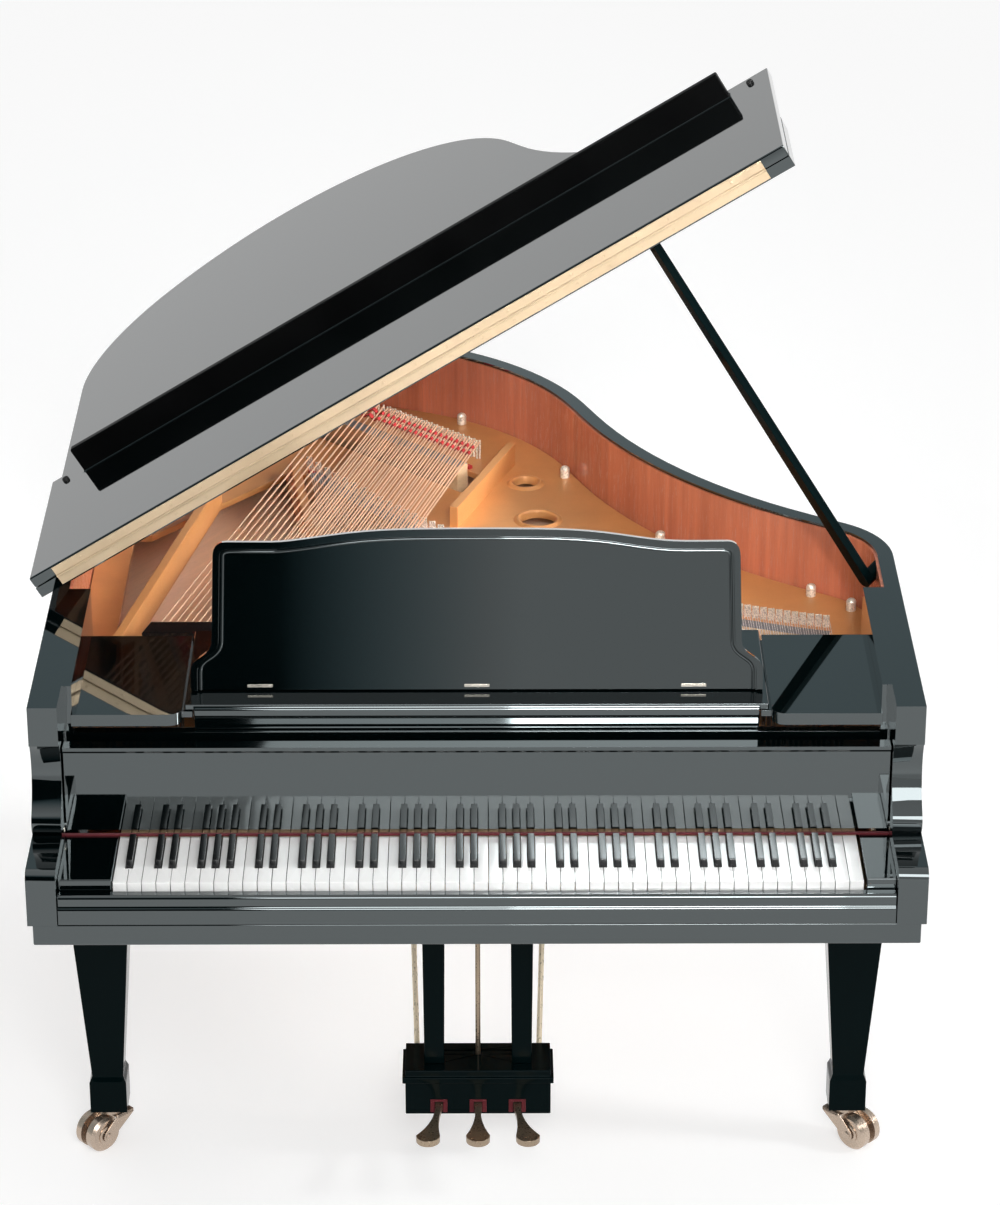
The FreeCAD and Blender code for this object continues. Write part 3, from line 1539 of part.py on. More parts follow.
hinge_pin = rod("flap_pin", (leaf_left, fold_y, fold_z), S.flap_pin, leaf_span, "x")
lid_leaf_raw = fuse("flap_hinge_lid_leaf_raw", flap_leaf("lid_side_leaf", lid_edge, lid_numbers))
lid_leaf = cut("flap_hinge_lid_cut", lid_leaf_raw, knuckle_gaps("flap_room", flap_numbers))
lid_leaf = fuse("flap_hinge_lid_leaf_solid", [lid_leaf, hinge_pin])
lid_leaf.Placement = lid_open
keep(lid_leaf, "flap_hinge_lid_leaf")
flap_leaf_raw = fuse("flap_hinge_flap_leaf_raw", flap_leaf("flap_side_leaf", flap_edge, flap_numbers))
lid_rooms = knuckle_gaps("lid_room", lid_numbers)
pin_room = rod("flap_pin_room", (leaf_left - S.side_gap, fold_y, fold_z), S.flap_pin + S.pivot_room,
               leaf_span + 2 * S.side_gap, "x")
flap_side = cut("flap_hinge_flap_cut", flap_leaf_raw, group("flap_leaf_rooms", [lid_rooms, pin_room]))
flap_side.Placement = flap_open
keep(flap_side, "flap_hinge_flap_leaf")

# Side hinges at the spine: three pairs of leaves
LID_HINGE_SHARES = (0.4, 0.57, 0.74)
KNUCKLE_SHARE = 1 / 3
rim_leaves = []
lid_leaves = []
for number, share in enumerate(LID_HINGE_SHARES):
    start = front + share * case_length
    stop = start + S.lid_leaf_length
    third = S.lid_leaf_length * KNUCKLE_SHARE
    span = (hinge_x, hinge_x + S.lid_leaf_reach)
    tag = str(number)
    rim_leaf = box("rim_leaf_" + tag, span, (start, stop), (rim_top, rim_top + S.lid_leaf_thick))
    ends = []
    for place in (start, stop - third):
        ends.append(rod("rim_knuckle_" + tag, (hinge_x, place, hinge_z), S.lid_knuckle, third, "y"))
    middle_room = rod("lid_knuckle_room_" + tag, (hinge_x, start + third - S.slide_gap, hinge_z),
                      S.lid_knuckle + S.slide_gap, third + 2 * S.slide_gap, "y")
    pin = rod("lid_pin_" + tag, (hinge_x, start, hinge_z), S.lid_pin, S.lid_leaf_length, "y")
    rim_raw = cut("rim_leaf_cut_" + tag, fuse("rim_leaf_raw_" + tag, [rim_leaf] + ends), middle_room)
    rim_leaves.append(fuse("rim_leaf_whole_" + tag, [rim_raw, pin]))
    lid_leaf_plate = box("lid_leaf_" + tag, span, (start + third, stop - third),
                         (lid_bottom - S.lid_leaf_thick, lid_bottom))
    wide_plate = box("lid_leaf_wide_" + tag, (hinge_x + 2 * S.lid_knuckle, hinge_x + S.lid_leaf_reach),
                     (start, stop), (lid_bottom - S.lid_leaf_thick, lid_bottom))
    knuckle = rod("lid_knuckle_" + tag, (hinge_x, start + third, hinge_z), S.lid_knuckle, third, "y")
    lid_raw = fuse("lid_leaf_raw_" + tag, [lid_leaf_plate, wide_plate, knuckle])
    pin_bore = rod("lid_pin_bore_" + tag, (hinge_x, start, hinge_z), S.lid_pin + S.pivot_room,
                   S.lid_leaf_length, "y")
    lid_leaves.append(cut("lid_leaf_whole_" + tag, lid_raw, pin_bore))
keep(group("rim_leaf_set", rim_leaves), "lid_hinge_rim_leaves")
lid_leaf_set = group("lid_leaf_set", lid_leaves)
lid_leaf_set.Placement = lid_open
keep(lid_leaf_set, "lid_hinge_lid_leaves")

# Prop: a slim tapered stick from a pin on the treble rim to a plate under the lid
prop_foot = Vector(
    float(right_side - S.prop_side), float(cheek_end - S.prop_gap), float(rim_top - S.prop_drop)
)
lid_up = lid_open.Rotation.multVec(Vector(0, 0, 1))
lid_point = lid_open.multVec(Vector(float(hinge_x), 0, float(lid_bottom)))
prop_reach = (lid_point - prop_foot).dot(lid_up) - float(S.prop_plate_thick) - float(S.prop_tip_gap)
FOLD_HEADING = Vector(-0.67, 0.742, 0)
fold_axis = lid_up.cross(FOLD_HEADING).normalize()


def prop_shape():
    """The stick along its own upright axis, with its pivot bore across it."""
    half = float(S.prop_width) / 2
    tip = float(S.prop_tip_width) / 2
    thick = float(S.prop_thick)
    side = [
        Vector(-half, 0, 0),
        (Vector(0, 0, -half), Vector(half, 0, 0)),
        Vector(tip, 0, prop_reach),
        Vector(-tip, 0, prop_reach),
    ]
    stick = prism(wire_of(side), Vector(0, thick, 0))
    stick.translate(Vector(0, -thick / 2, 0))
    room = float(S.prop_pin + S.pivot_room)
    bore = Part.makeCylinder(room, thick * 2, Vector(0, -thick, 0), Vector(0, 1, 0))
    return stick.cut(bore)


prop_side_way = fold_axis.cross(lid_up)
prop_turn = Rotation(prop_side_way, fold_axis, lid_up, "ZXY")
keep(feature("lid_prop_stick", prop_shape(), Placement(prop_foot, prop_turn)), "lid_prop")


def bracket_shape():
    """The pin through the prop's foot and the lug that holds it to the rim."""
    out = fold_axis * -1
    half = float(S.prop_thick) / 2
    gap = float(S.slide_gap)
    pin = Part.makeCylinder(float(S.prop_pin), 2 * half + gap, prop_foot - out * half, out)
    lug_start = prop_foot + out * (half + gap)
    lug = Part.makeCylinder(float(S.prop_lug), float(S.prop_side), lug_start, out)
    room = case_slab(lining_inset, arm_end, soundboard_top, rim_top - S.lining_drop)
    return pin.fuse(lug.common(room)).removeSplitter()


keep(feature("prop_bracket_lug", bracket_shape()), "prop_bracket")
tip_place = prop_foot + lid_up * (prop_reach + float(S.prop_tip_gap))
plate_half = float(S.prop_plate_side) / 2
prop_plate = Part.makeBox(2 * plate_half, 2 * plate_half, float(S.prop_plate_thick),
                          Vector(-plate_half, -plate_half, 0))
keep(feature("prop_plate_sheet", prop_plate, Placement(tip_place, lid_open.Rotation)), "prop_plate")

# Legs: tapered posts with a spade foot
leg_places = {
    "bass": (left_side + S.leg_side, front + S.leg_setback, keybed_bottom),
    "treble": (right_side - S.leg_side, front + S.leg_setback, keybed_bottom),
    "rear": (middle + S.rear_leg_x, case_tail - S.rear_leg_margin, rim_bottom),
}
for side, (x, y, top) in leg_places.items():
    sections = [
        (0 * S.leg_top, S.leg_spade / 2, S.leg_spade / 2),
        (S.leg_spade_height, S.leg_spade / 2, S.leg_spade / 2),
        (S.leg_spade_height + S.leg_spade_bevel, S.leg_neck / 2, S.leg_neck / 2),
        (top - S.caster_height, S.leg_top / 2, S.leg_top / 2),
    ]
    keep(taper_body("leg_" + side + "_body", sections, (x, y, S.caster_height)), "leg_" + side)

# Casters: a plate and web that turn under the leg, and a pair of wheels on one axle
CASTER_HEADINGS = {"bass": 225, "treble": 315, "rear": 200}
WEB_TIP_SHARES = ((0.8, 0.4), (0.4, -0.8), (-0.6, -0.7))
web_half = S.yoke_web / 2
wheel_in = web_half + S.wheel_gap
wheel_out = wheel_in + S.wheel_width
for side, (x, y, top) in leg_places.items():
    turn = Placement(Vector(float(x), float(y), 0), Rotation(Vector(0, 0, 1), CASTER_HEADINGS[side]))
    plate_low = S.caster_height - S.caster_plate_thick
    plate = rod("caster_plate_" + side, (0, 0, plate_low), S.caster_plate_radius, S.caster_plate_thick, "z")
    web_points = [(-S.yoke_boss / 2, plate_low), (S.yoke_boss, plate_low)]
    for out, up in WEB_TIP_SHARES:
        web_points.append((S.caster_trail + S.yoke_boss * out, S.wheel_radius + S.yoke_boss * up))
    web_points.append((-S.yoke_boss, plate_low - S.yoke_boss))
    web = pad_body("caster_web_" + side, "XZ_Plane", web_points, S.yoke_web, (0, web_half, 0))
    hole = rod("caster_bore_" + side, (S.caster_trail, -S.yoke_web, S.wheel_radius),
               S.axle_radius + S.axle_room, 2 * S.yoke_web, "y")
    yoke = cut("caster_yoke_" + side, fuse("caster_frame_" + side, [plate, web]), hole)
    yoke.Placement = turn
    keep(yoke, "caster_fork_" + side)
    outline = [
        (0, -wheel_out),
        (S.wheel_radius - S.wheel_round, -wheel_out),
        (S.wheel_radius, -wheel_out + S.wheel_round),
        (S.wheel_radius, -wheel_in),
        (S.axle_radius, -wheel_in),
        (S.axle_radius, wheel_in),
        (S.wheel_radius, wheel_in),
        (S.wheel_radius, wheel_out - S.wheel_round),
        (S.wheel_radius - S.wheel_round, wheel_out),
        (0, wheel_out),
    ]
    wheels = turned_body("caster_wheels_" + side + "_body", outline)
    lay = Rotation(Vector(1, 0, 0), -90)
    spot = turn.multVec(Vector(float(S.caster_trail), 0, float(S.wheel_radius)))
    wheels.Placement = Placement(spot, turn.Rotation.multiply(lay))
    keep(wheels, "caster_wheels_" + side)

# Lyre: posts, box with three slots, braces, pedals and their rods
lyre_front = front + S.lyre_setback
lyre_top = S.lyre_bottom + S.lyre_height
posts = []
for number, sign in enumerate((-1, 1)):
    sections = [
        (0 * S.post_foot, S.post_foot / 2, S.post_depth / 2),
        (keybed_bottom - lyre_top, S.post_top / 2, S.post_depth / 2),
    ]
    place = (middle + sign * S.post_pitch / 2, lyre_front + S.post_setback + S.post_depth / 2, lyre_top)
    posts.append(taper_body("lyre_post_" + str(number), sections, place))
keep(group("lyre_post_pair", posts), "lyre_posts")

lyre_half = S.lyre_width / 2
lyre_back = lyre_front + S.lyre_depth
shell = box("lyre_shell", (middle - lyre_half, middle + lyre_half), (lyre_front, lyre_back),
            (S.lyre_bottom, lyre_top))
cap = box(
    "lyre_cap_moulding",
    (middle - lyre_half - S.lyre_cap_lip, middle + lyre_half + S.lyre_cap_lip),
    (lyre_front - S.lyre_cap_lip, lyre_back),
    (lyre_top - 2 * S.lyre_cap, lyre_top - S.lyre_cap),
)
hollow = box(
    "lyre_hollow",
    (middle - lyre_half + S.lyre_wall, middle + lyre_half - S.lyre_wall),
    (lyre_front + S.lyre_wall, lyre_back - S.lyre_wall),
    (S.lyre_bottom - S.overrun, lyre_top - S.lyre_cap),
)
pedal_level = S.lyre_bottom + S.pedal_rise
PEDALS = {"shift": -1, "sostenuto": 0, "damper": 1}
openings = [hollow]
for name, place in PEDALS.items():
    centre = middle + place * S.pedal_pitch
    openings.append(box("pedal_slot_" + name, (centre - S.slot_width / 2, centre + S.slot_width / 2),
                        (lyre_front - S.overrun, lyre_front + S.lyre_wall + S.overrun),
                        (pedal_level - S.slot_height / 2, pedal_level + S.slot_height / 2)))
    hole_start = (centre, lyre_front + S.rod_setback, lyre_top - S.lyre_wall - S.overrun)
    openings.append(rod("rod_hole_" + name, hole_start, S.rod_radius + S.rod_room,
                        S.lyre_wall + 2 * S.overrun, "z"))
lyre_solid = fuse("lyre_walls", [shell, cap])
bar_start = (middle - lyre_half + S.lyre_wall / 2, lyre_front + S.pedal_pivot, pedal_level)
pivot_bar = rod("pedal_pivot_bar", bar_start, S.pivot_pin_radius, S.lyre_width - S.lyre_wall, "x")
lyre_cut = cut("lyre_hollowed", lyre_solid, group("lyre_openings", openings))
keep(fuse("lyre_box_solid", [lyre_cut, pivot_bar]), "lyre_box")


PEDAL_BEND_SHARE = 0.33


def pedal_shape(place):
    """A pedal seen from above: round toe, narrow neck that leans outward, straight tail to its heel."""
    centre = float(middle + place * S.pedal_pitch)
    lean = place * float(S.pedal_splay)
    start = float(lyre_front)
    toe = start - float(S.pedal_reach) + float(S.pedal_toe_width) / 2
    half = float(S.pedal_toe_width) / 2
    neck = float(S.pedal_neck) / 2
    heel = start + float(S.pedal_heel)
    low = float(pedal_level) - float(S.pedal_thick) / 2
    waist = (start + toe) / 2
    bend = PEDAL_BEND_SHARE * lean
    spots = [
        Vector(centre + neck, heel, low),
        Vector(centre + neck, start - neck, low),
        (Vector(centre + neck + bend, waist, low), Vector(centre + half + lean, toe, low)),
        (Vector(centre + lean, toe - half, low), Vector(centre - half + lean, toe, low)),
        (Vector(centre - neck + bend, waist, low), Vector(centre - neck, start - neck, low)),
        Vector(centre - neck, heel, low),
    ]
    blade = prism(wire_of(spots), Vector(0, 0, float(S.pedal_thick)))
    bore = Part.makeCylinder(
        float(S.pivot_pin_radius + S.pivot_room), float(S.pedal_toe_width),
        Vector(centre - half, start + float(S.pedal_pivot), float(pedal_level)), Vector(1, 0, 0)
    )
    return blade.cut(bore)


rod_base = pedal_level + S.pedal_thick / 2 + S.slide_gap
for name, place in PEDALS.items():
    centre = middle + place * S.pedal_pitch
    keep(feature("pedal_" + name + "_blade", pedal_shape(place)), "pedal_" + name)
    keep(rod("pedal_rod_" + name + "_bar", (centre, lyre_front + S.rod_setback, rod_base), S.rod_radius,
             keybed_bottom - rod_base - S.rod_travel, "z"), "pedal_rod_" + name)

braces = []
for number, sign in enumerate((-1, 1)):
    foot_z = float(lyre_top - S.lyre_cap - S.lyre_wall)
    foot = Vector(float(middle + sign * S.brace_side), float(lyre_back), foot_z)
    head = Vector(foot.x + sign * float(S.brace_splay), foot.y + float(S.brace_back), float(keybed_bottom))
    run = head - foot
    stretch = run * (1 + float(S.overrun) / run.Length)
    tube = Part.makeCylinder(float(S.brace_radius), stretch.Length * 2, foot - run, stretch)
    room = Part.makeBox(float(case_width), float(case_length), float(keybed_bottom),
                        Vector(float(left_side), float(lyre_back), 0))
    braces.append(tube.common(room))
keep(feature("lyre_brace_pair", Part.makeCompound(braces)), "lyre_braces")

# Check every object and write each sub-part
doc.recompute()
for thing in doc.Objects:
    if "Invalid" in thing.State or "Error" in thing.State:
        raise RuntimeError("object failed: " + thing.Label + " " + str(thing.State))
for part in sub_parts:
    if part.Shape.isNull() or not part.Shape.isValid() or not part.Shape.Solids:
        raise RuntimeError("shape failed: " + part.Label)
os.makedirs("parts", exist_ok=True)
for part in sub_parts:
    part.Shape.exportStep("parts/" + part.Label + ".step")
print(len(sub_parts), "sub-parts")
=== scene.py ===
"""Looks of a black grand piano on a white studio floor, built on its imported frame."""

import logging
import math
from dataclasses import dataclass, field
from enum import Enum
from typing import Callable, Dict, List, Mapping, Optional, Sequence, Tuple, Union

import bmesh
import bpy
from mathutils import Matrix, Vector


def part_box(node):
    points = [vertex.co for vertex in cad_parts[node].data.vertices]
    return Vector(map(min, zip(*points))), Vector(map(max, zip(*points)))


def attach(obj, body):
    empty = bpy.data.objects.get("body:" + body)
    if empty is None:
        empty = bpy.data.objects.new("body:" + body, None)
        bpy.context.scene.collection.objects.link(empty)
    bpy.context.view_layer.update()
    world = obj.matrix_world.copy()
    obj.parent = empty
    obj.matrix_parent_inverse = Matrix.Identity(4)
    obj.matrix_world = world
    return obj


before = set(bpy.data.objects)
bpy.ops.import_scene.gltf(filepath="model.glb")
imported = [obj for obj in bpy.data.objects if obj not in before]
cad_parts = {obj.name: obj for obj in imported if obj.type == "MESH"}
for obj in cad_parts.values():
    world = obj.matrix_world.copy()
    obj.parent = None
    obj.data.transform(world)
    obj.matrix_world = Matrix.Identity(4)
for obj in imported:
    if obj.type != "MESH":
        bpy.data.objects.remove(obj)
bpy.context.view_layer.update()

logging.basicConfig(level=logging.INFO, format="%(message)s")
LOG = logging.getLogger("grand_piano")

Pair = Tuple[float, float]
Colour = Tuple[float, float, float]
Point = Tuple[float, float, float]
Value = Union[bpy.types.NodeSocket, float, Colour, Vector]
Sockets = Mapping[str, bpy.types.NodeSocket]

WHITE: Colour = (1.0, 1.0, 1.0)
TEAL: Colour = (0.80, 0.97, 1.0)
WHOLE: Pair = (0.0, 1.0)
MIDDLE: Pair = (0.3, 0.7)  # range that most values of a cloud texture lie in
ONE_CORNER = 1e-5  # corners of a frame node that are closer than this are one


class Body(str, Enum):
    """Moving bodies of the frame that extra pieces ride on."""

    CASE = "case"
    LID = "lid"
    FLAP = "flap"
    DESK_LEAF = "desk_leaf"
    CASTER_BASS = "caster_bass"
    CASTER_TREBLE = "caster_treble"
    CASTER_REAR = "caster_rear"
    WHEELS_BASS = "wheels_bass"
    WHEELS_TREBLE = "wheels_treble"
    WHEELS_REAR = "wheels_rear"


class Slot(str, Enum):
    """Material slots of the record, one named for each extra piece."""

    LACQUER = "black_lacquer"
    PLATE = "bronze_iron"
    BRASS = "brass"
    FELT = "red_felt"
    BLACK = "black_key"


class Axis(str, Enum):
    """Directions of the shared frame."""

    X = "X"
    Y = "Y"
    Z = "Z"


@dataclass
class Graph:
    """A node tree with short calls for adding and joining nodes."""

    tree: bpy.types.NodeTree

    def add(self, kind: str, inputs: Optional[Mapping[object, Value]] = None, **values: object) -> bpy.types.Node:
        """Add a node, set its properties and feed its inputs.

        Args:
            kind: Blender's name of the node type.
            inputs: What its inputs get, by their name or place.
            values: Properties of the node to set.

        Returns:
            The new node.
        """
        node = self.tree.nodes.new(kind)
        for name, value in values.items():
            setattr(node, name, value)
        for place, value in (inputs or {}).items():
            self.feed(node.inputs[place], value)
        return node

    def feed(self, target: bpy.types.NodeSocket, value: Value) -> None:
        """Give an input a link or a constant.

        Args:
            target: Input socket.
            value: Output socket to join, or a number, colour or vector to set.
        """
        if isinstance(value, bpy.types.NodeSocket):
            self.tree.links.new(value, target)
        elif isinstance(value, tuple):
            target.default_value = (*value, 1.0)
        else:
            target.default_value = value

    def math(self, operation: str, first: Value, second: Value) -> Value:
        """Work out two numbers by the operation that Blender gives this name."""
        return self.add("ShaderNodeMath", {0: first, 1: second}, operation=operation).outputs[0]

    def spread(self, value: Value, span: Pair, result: Tuple[Value, Value]) -> Value:
        """Map a value from the ends of one range to the ends of another, held at both."""
        return self.add("ShaderNodeMapRange", dict(enumerate((value, *span, *result)))).outputs[0]

    def mix(self, share: Value, first: Value, second: Value) -> Value:
        """Mix two colours by the share of the second."""
        return self.add("ShaderNodeMix", {0: share, 6: first, 7: second}, data_type="RGBA").outputs[2]

    def blend(self, share: Value, first: Value, second: Value) -> Value:
        """Mix two numbers by the share of the second."""
        return self.add("ShaderNodeMix", {0: share, 2: first, 3: second}, data_type="FLOAT").outputs[0]

    def noise(self, vector: Value, scale: Value, detail: float = 3.0, rough: float = 0.55) -> Value:
        """Read a cloud texture of some scale, octaves and share of the finer ones."""
        values = {"Vector": vector, "Scale": scale, "Detail": detail, "Roughness": rough}
        return self.add("ShaderNodeTexNoise", values).outputs["Fac"]

    def place(self) -> Value:
        """Read the place in object space, in metres."""
        return self.add("ShaderNodeTexCoord").outputs["Object"]

    def moved(self, vector: Value, change: str, amount: Value) -> Value:
        """Turn or stretch a place by the mapping input of that name."""
        return self.add("ShaderNodeMapping", {"Vector": vector, change: amount}).outputs["Vector"]

    def along(self, axis: Axis) -> Value:
        """Read the place along one axis, in metres."""
        return self.add("ShaderNodeSeparateXYZ", {0: self.place()}).outputs[axis.value]


class Effect:
    """A shared effect, built once as a shader node group with named inputs and outputs."""

    name: str
    numbers: Sequence[str] = ()
    vectors: Sequence[str] = ()

    def fill(self, graph: Graph, given: Sockets) -> Dict[str, Value]:
        """Add the effect's nodes to its graph, and give what its outputs get by their name."""
        raise NotImplementedError

    def tree(self) -> bpy.types.NodeTree:
        """Make the effect's node group, or give back the one made before.

        Returns:
            The node group.
        """
        found = bpy.data.node_groups.get(self.name)
        if found is not None:
            return found
        made = bpy.data.node_groups.new(self.name, "ShaderNodeTree")
        for kind, names in (("NodeSocketFloat", self.numbers), ("NodeSocketVector", self.vectors)):
            for name in names:
                made.interface.new_socket(name, in_out="INPUT", socket_type=kind)
        graph = Graph(made)
        results = self.fill(graph, graph.add("NodeGroupInput").outputs)
        for name in results:
            made.interface.new_socket(name, in_out="OUTPUT", socket_type="NodeSocketFloat")
        graph.add("NodeGroupOutput", results)
        return made


class Polish(Effect):
    """Small changes of gloss and height over a polished surface."""

    name = "polish"
    numbers = ("Cloud Scale", "Fine Scale", "Peel Scale")
    cloud_share = 0.8
    fine_share = 0.2

    def fill(self, graph: Graph, given: Sockets) -> Dict[str, Value]:
        """Add broad and fine clouds.

        Args:
            graph: Graph of the node group.
            given: Scales of the clouds.

        Returns:
            Variation and height.
        """
        place = graph.place()
        cloud = graph.math("MULTIPLY", graph.noise(place, given["Cloud Scale"], detail=4.0), self.cloud_share)
        fine = graph.math("MULTIPLY", graph.noise(place, given["Fine Scale"], detail=2.0), self.fine_share)
        height = graph.noise(place, given["Peel Scale"], detail=2.0)
        return {"Variation": graph.math("ADD", cloud, fine), "Height": height}


class WoodFigure(Effect):
    """Figure, growth lines and pores of wood."""

    name = "wood_figure"
    numbers = ("Figure Scale", "Line Scale")
    vectors = ("Turn", "Stretch")
    pores_per_line = 7.0
    pore_span = (0.5, 0.72)

    def fill(self, graph: Graph, given: Sockets) -> Dict[str, Value]:
        """Add clouds that are drawn out along the fibres.

        Args:
            graph: Graph of the node group.
            given: Scales of the figure and lines, turn of the fibres, and stretch on each axis.

        Returns:
            Figure, streak, pores and height.
        """
        turned = graph.moved(graph.place(), "Rotation", given["Turn"])
        place = graph.moved(turned, "Scale", given["Stretch"])
        streak = graph.noise(place, given["Line Scale"], rough=0.6)
        pore_scale = graph.math("MULTIPLY", given["Line Scale"], self.pores_per_line)
        fine = graph.noise(place, pore_scale, rough=0.65)
        return {
            "Figure": graph.noise(place, given["Figure Scale"]),
            "Streak": graph.spread(streak, MIDDLE, WHOLE),
            "Pores": graph.spread(fine, self.pore_span, WHOLE),
            "Height": fine,
        }


class MetalGrain(Effect):
    """Brushed or cast grain of a metal, with stains."""

    name = "metal_grain"
    numbers = ("Grain Scale", "Stain Scale")
    vectors = ("Stretch",)

    def fill(self, graph: Graph, given: Sockets) -> Dict[str, Value]:
        """Add the grain and the stains.

        Args:
            graph: Graph of the node group.
            given: Scales of the grain and stains, and stretch of the grain on each axis.

        Returns:
            Tarnish and grain.
        """
        place = graph.place()
        grain = graph.noise(graph.moved(place, "Scale", given["Stretch"]), given["Grain Scale"])
        return {"Tarnish": graph.noise(place, given["Stain Scale"], detail=5.0), "Grain": grain}


class WoolFibre(Effect):
    """Fuzz and clumps of pressed wool."""

    name = "wool_fibre"
    numbers = ("Fuzz Scale", "Clump Scale")
    fuzz_share = 0.6
    clump_share = 0.4

    def fill(self, graph: Graph, given: Sockets) -> Dict[str, Value]:
        """Add the fuzz and the clumps.

        Args:
            graph: Graph of the node group.
            given: Scales of the fuzz and clumps.

        Returns:
            Fuzz and height.
        """
        place = graph.place()
        height = graph.noise(place, given["Fuzz Scale"], detail=4.0, rough=0.7)
        fuzz = graph.math("MULTIPLY", height, self.fuzz_share)
        clump = graph.math("MULTIPLY", graph.noise(place, given["Clump Scale"]), self.clump_share)
        return {"Fuzz": graph.math("ADD", fuzz, clump), "Height": height}


class EachSolid(Effect):
    """A steady random value for each separate solid of a node."""

    name = "each_solid"
    numbers = ("Lowest", "Highest")

    def fill(self, graph: Graph, given: Sockets) -> Dict[str, Value]:
        """Read the solid's random value into the range that is given."""
        chance = graph.add("ShaderNodeNewGeometry").outputs["Random Per Island"]
        return {"Value": graph.spread(chance, WHOLE, (given["Lowest"], given["Highest"]))}


@dataclass
class Surface(Graph):
    """Graph of a material, with short calls for its surface shader."""

    def put(self, name: str, value: Value) -> None:
        """Give an input of the surface shader a socket, number or colour."""
        self.feed(self.tree.nodes["Principled BSDF"].inputs[name], value)

    def use(self, effect: Effect, values: Mapping[str, Value]) -> Sockets:
        """Place a shared effect with this material's own values, and give its outputs."""
        return self.add("ShaderNodeGroup", dict(values), node_tree=effect.tree()).outputs

    def bump(self, height: Value, strength: float, depth: float) -> None:
        """Raise the surface by a height, with some strength and a depth in metres."""
        values = {"Height": height, "Strength": strength, "Distance": depth}
        self.put("Normal", self.add("ShaderNodeBump", values).outputs["Normal"])


@dataclass(frozen=True)
class Finish:
    """A surface finish with a base colour and constants of its shader."""

    name: str
    colour: Colour
    roughness: float
    metallic: float = 0.0
    coat: float = 0.0
    sheen: float = 0.0
    specular: float = 0.5
    cast: Colour = WHITE
    tones: Pair = WHOLE
    gloss: Pair = WHOLE
    bump: float = 0.0
    depth: float = 0.0003

    def material(self) -> bpy.types.Material:
        """Make the finish's material, or give back the one made before.

        Returns:
            The material.
        """
        found = bpy.data.materials.get(self.name)
        if found is not None:
            return found
        made = bpy.data.materials.new(self.name)
        made.use_nodes = True
        surface = Surface(made.node_tree)
        constants = {
            "Base Color": self.colour,
            "Roughness": self.roughness,
            "Metallic": self.metallic,
            "Coat Weight": self.coat,
            "Coat Roughness": self.roughness,
            "Sheen Weight": self.sheen,
            "Specular IOR Level": self.specular,
            "Specular Tint": self.cast,
        }
        for name, value in constants.items():
            surface.put(name, value)
        self.detail(surface)
        return made

    def detail(self, surface: Surface) -> None:
        """Add the finish's own detail to its material."""
        raise NotImplementedError

    def shade(self, share: float) -> Colour:
        """Make the base colour darker or lighter by a factor."""
        return tuple(min(1.0, channel * share) for channel in self.colour)

    def toned(self, surface: Surface, share: Value) -> Value:
        """Mix the darkest and palest tone by the share of the palest."""
        return surface.mix(share, self.shade(self.tones[0]), self.shade(self.tones[1]))

    def glossed(self, surface: Surface, value: Value, span: Pair = MIDDLE) -> Value:
        """Change the roughness between its ends as a value runs through a range."""
        return surface.spread(value, span, tuple(self.roughness * share for share in self.gloss))


@dataclass(frozen=True)
class Lacquer(Finish):
    """Polished polyester with a faint change of gloss."""

    tones: Pair = (0.85, 1.15)
    gloss: Pair = (0.7, 1.4)
    bump: float = 0.004
    depth: float = 0.0004

    def detail(self, surface: Surface) -> None:
        """Vary the gloss and raise the surface very slightly.

        Args:
            surface: Graph of the material.
        """
        polish = surface.use(POLISH, POLISH_SCALES)
        surface.put("Roughness", self.glossed(surface, polish["Variation"]))
        surface.put("Base Color", self.toned(surface, polish["Variation"]))
        surface.bump(polish["Height"], self.bump, self.depth)


@dataclass(frozen=True)
class Wood(Finish):
    """Lacquered wood with its figure along one axis."""

    gloss: Pair = (1.0, 1.3)
    bump: float = 0.05
    along: Axis = Axis.Y
    figure: float = 9.0
    ring: float = 60.0
    turn: float = 0.0
    dark: float = 0.62
    pale: float = 1.25
    draw: float = 0.05
    broad_span: Pair = (0.32, 0.68)
    streak: float = 0.6
    pore: float = 0.35
    pore_dark: float = 0.7

    def detail(self, surface: Surface) -> None:
        """Paint the figure, streaks and pores.

        Args:
            surface: Graph of the material.
        """
        wood = surface.use(WOOD_FIGURE, {
            "Figure Scale": self.figure,
            "Line Scale": self.ring,
            "Turn": Vector((0.0, 0.0, math.radians(self.turn))),
            "Stretch": Vector(self.draw if axis is self.along else 1.0 for axis in Axis),
        })
        broad = surface.spread(wood["Figure"], self.broad_span, WHOLE)
        base = surface.mix(broad, self.shade((1.0 + self.dark) / 2), self.shade(self.pale))
        streak = surface.math("MULTIPLY", wood["Streak"], self.streak)
        lined = surface.mix(streak, base, self.shade(self.dark))
        pores = surface.math("MULTIPLY", wood["Pores"], self.pore)
        surface.put("Base Color", surface.mix(pores, lined, self.shade(self.dark * self.pore_dark)))
        surface.put("Roughness", self.glossed(surface, wood["Pores"], WHOLE))
        surface.bump(wood["Height"], self.bump, self.depth)


